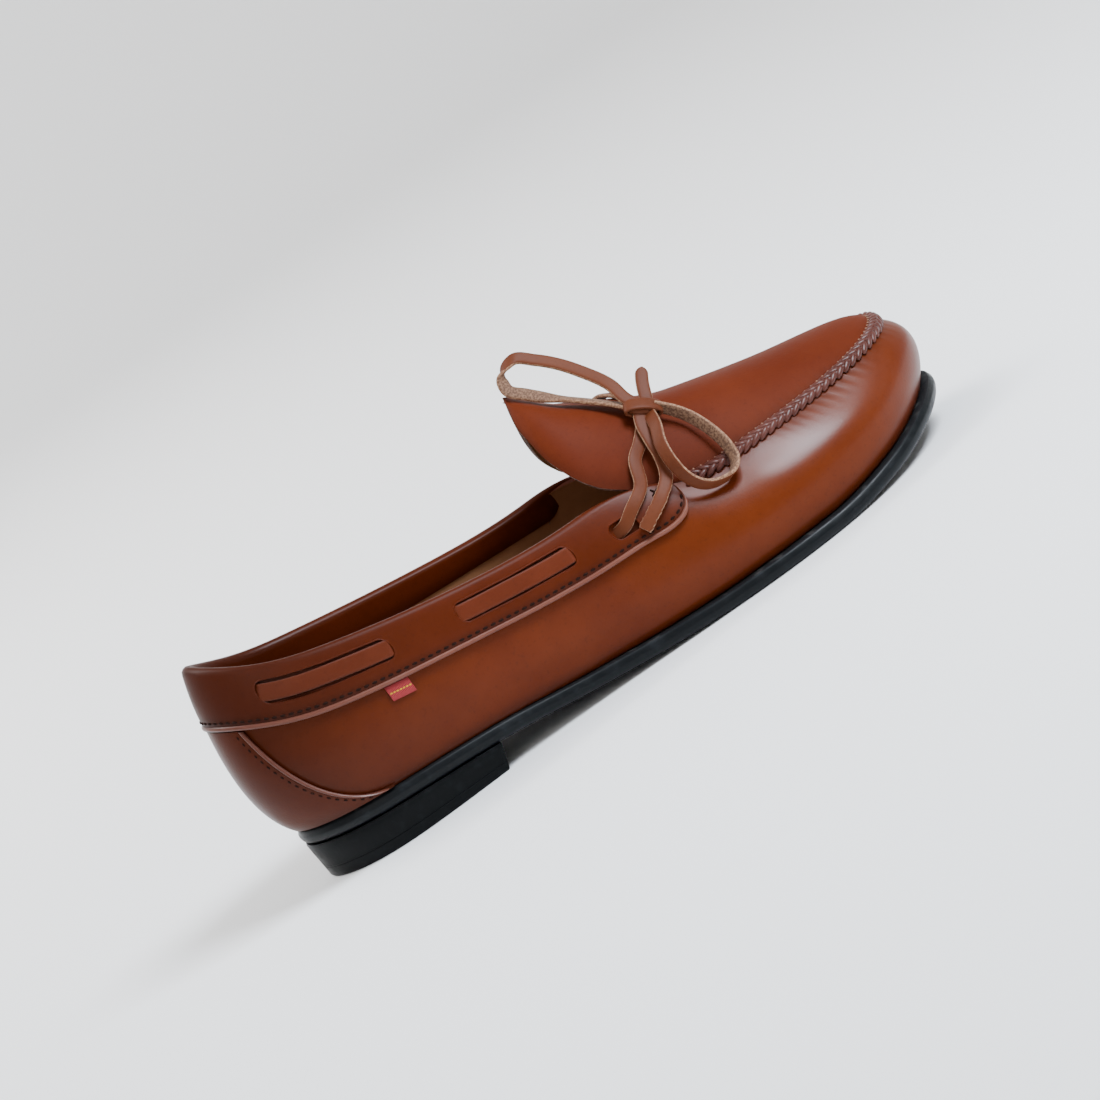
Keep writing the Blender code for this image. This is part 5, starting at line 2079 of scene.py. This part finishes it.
@dataclass
class SideTab:
    """Small plain woven tab under the band on the outer side."""

    place: float = 61.0
    length: float = 8.5
    height: float = 5.0
    thick: float = 0.8
    seat: float = 0.3
    stitch_count: int = 7
    stitch_half: Triple = (0.52, 0.3, 0.2)
    stitch_short: float = 0.8

    def build(self) -> None:
        """Builds the folded ribbon and the gold line of stitches along its middle."""
        middle = FORM.band_height + FORM.gap + self.height / 2

        def place(along: Array, turn: Array) -> Array:
            """Point of the folded ribbon's surface."""
            angle = turn * 2 * np.pi
            drop = middle - np.sign(np.cos(angle)) * self.height / 2 * np.abs(np.cos(angle)) ** 0.35
            lift = self.seat + self.thick / 2 + np.sin(angle) * self.thick / 2
            return FORM.on_band(self.place + self.length * along, drop, lift)

        marks = {"along": lambda along, turn: along, "across": lambda along, turn: 2 * np.abs(turn - 0.5)}
        bm = grid_mesh(30, 40, place, marks)
        add_piece("woven_tab", bm, (CRIMSON_WEAVE,), ("side_tab",))
        self.build_stitches(middle)

    def build_stitches(self, drop: float) -> None:
        """Builds the thin gold stitches.

        Args:
            drop: drop of the stitch line below the topline.
        """
        bm = bmesh.new()
        end = self.place + self.length - self.stitch_short
        u = np.linspace(self.place + self.stitch_short, end, self.stitch_count)
        v = FORM.below_top(u, drop)
        spots = FORM.skin(u, v, np.full_like(u, self.seat + self.thick))
        add_stitches(bm, spots, unit(FORM.wall_run(u, v)), FORM.wall_normal(u, v), self.stitch_half)
        add_piece("tab_hem_stitches", bm, (GOLD_THREAD,))


@dataclass(frozen=True)
class SoftLight:
    """Soft square light: its place, what it looks at, its size, power and tint."""

    name: str
    place: Triple
    target: Triple
    size: float
    power: float
    tint: Colour = (1.0, 1.0, 1.0)

    def build(self) -> None:
        """Adds the light to the scene."""
        data = bpy.data.lights.new(self.name, "AREA")
        data.size = self.size
        data.color = self.tint
        data.energy = self.power
        light = bpy.data.objects.new(self.name, data)
        light.location = self.place
        light.rotation_euler = (Vector(self.target) - Vector(self.place)).to_track_quat("-Z", "Y").to_euler()
        bpy.context.scene.collection.objects.link(light)


LIGHTS = (
    SoftLight("toe_window", (0.58, -0.52, 1.0), (0.08, 0.0, 0.03), 0.52, 33.0, (0.84, 0.91, 1.0)),
    SoftLight("side_fill", (-0.9, -1.1, 1.1), (0.0, 0.0, 0.04), 1.0, 5.0, (1.0, 0.97, 0.93)),
    SoftLight("overhead", (-0.75, 0.55, 1.5), (0.0, 0.0, 0.04), 1.1, 18.0),
    SoftLight("backdrop", (-0.9, 0.9, 2.0), (-0.9, 3.2, 0.4), 1.5, 95.0),
)


@dataclass
class Studio:
    """Plain pale floor, soft lights and the camera at the photograph's angle."""

    azimuth_deg: float = -13.585
    elevation_deg: float = 11.546
    roll_deg: float = 34.178
    distance: float = 1.1699
    focal_pixels: float = 3292.5
    frame_pixels: float = 1100.0
    aim_pixel: Span = (594.2, 556.5)
    aim: Triple = (0.0, 0.0, 35.0)
    sensor: float = 36.0
    view_reach: float = 50.0
    floor_half: float = 2.6
    floor_bend: float = 1.2
    wall_rise: float = 1.2
    world_tone: float = 0.95
    world_strength: float = 0.5

    def axes(self) -> tuple[Array, Array, Array]:
        """Directions of the camera.

        Returns:
            Its right, up and backward directions.
        """
        az, el, roll = np.radians([self.azimuth_deg, self.elevation_deg, self.roll_deg])
        back = np.array([math.sin(az) * math.cos(el), -math.cos(az) * math.cos(el), math.sin(el)])
        right = np.array([math.cos(az), math.sin(az), 0.0])
        up = np.cross(back, right)
        turned_right = math.cos(roll) * right - math.sin(roll) * up
        turned_up = math.sin(roll) * right + math.cos(roll) * up
        return turned_right, turned_up, back

    def build(self) -> None:
        """Builds floor, world, camera and lights."""
        self.build_floor()
        self.build_world()
        self.build_camera()
        for light in LIGHTS:
            light.build()

    def build_floor(self) -> None:
        """Builds the plain floor, which rises as a seamless round backdrop."""

        def place(along: Array, turn: Array) -> Array:
            """Point of the floor or the backdrop."""
            angle = along * 2 * np.pi
            bend = np.clip((turn - 0.5) / 0.3, 0, 1) * np.pi / 2
            reach = self.floor_half * np.minimum(turn / 0.5, 1) + self.floor_bend * np.sin(bend)
            height = self.floor_bend * (1 - np.cos(bend)) + self.wall_rise * np.clip((turn - 0.8) / 0.2, 0, 1)
            return CENTRE + np.stack([reach * np.cos(angle), reach * np.sin(angle), height], axis=-1) / MM

        bm = grid_mesh(96, 40, place, fill=False)
        bmesh.ops.recalc_face_normals(bm, faces=bm.faces)
        if sum(face.normal.z for face in bm.faces) < 0:
            bmesh.ops.reverse_faces(bm, faces=bm.faces)
        floor = new_object("floor", bm, (FLOOR_FINISH,))
        floor.data.shade_smooth()

    def build_world(self) -> None:
        """Sets the plain pale surroundings."""
        world = bpy.data.worlds.new("studio")
        world.use_nodes = True
        back = world.node_tree.nodes["Background"]
        back.inputs["Color"].default_value = (self.world_tone, self.world_tone, self.world_tone, 1.0)
        back.inputs["Strength"].default_value = self.world_strength
        bpy.context.scene.world = world

    def build_camera(self) -> None:
        """Sets the camera so that the aim point falls on its pixel of the frame."""
        right, up, back = self.axes()
        data = bpy.data.cameras.new("photo_view")
        data.sensor_width = self.sensor
        data.lens = self.sensor * self.focal_pixels / self.frame_pixels
        data.shift_x = (self.frame_pixels / 2 - self.aim_pixel[0]) / self.frame_pixels
        data.shift_y = (self.aim_pixel[1] - self.frame_pixels / 2) / self.frame_pixels
        data.clip_end = self.view_reach
        camera = bpy.data.objects.new("photo_view", data)
        turn = Matrix(np.stack([right, up, back], axis=-1).tolist()).to_4x4()
        turn.translation = Vector(metres(np.array(self.aim)) + back * self.distance)
        camera.matrix_world = turn
        bpy.context.scene.collection.objects.link(camera)
        bpy.context.scene.camera = camera


def main() -> None:
    """Builds every sub-assembly in order."""
    for kind in (Studio, Bow, LaceRun, Bottom, Upper, Apron, PlaitSeam, CollarBand, HeelCounter, SideTab):
        LOG.info("building %s", kind.__name__)
        kind().build()


if __name__ == "__main__":
    main()
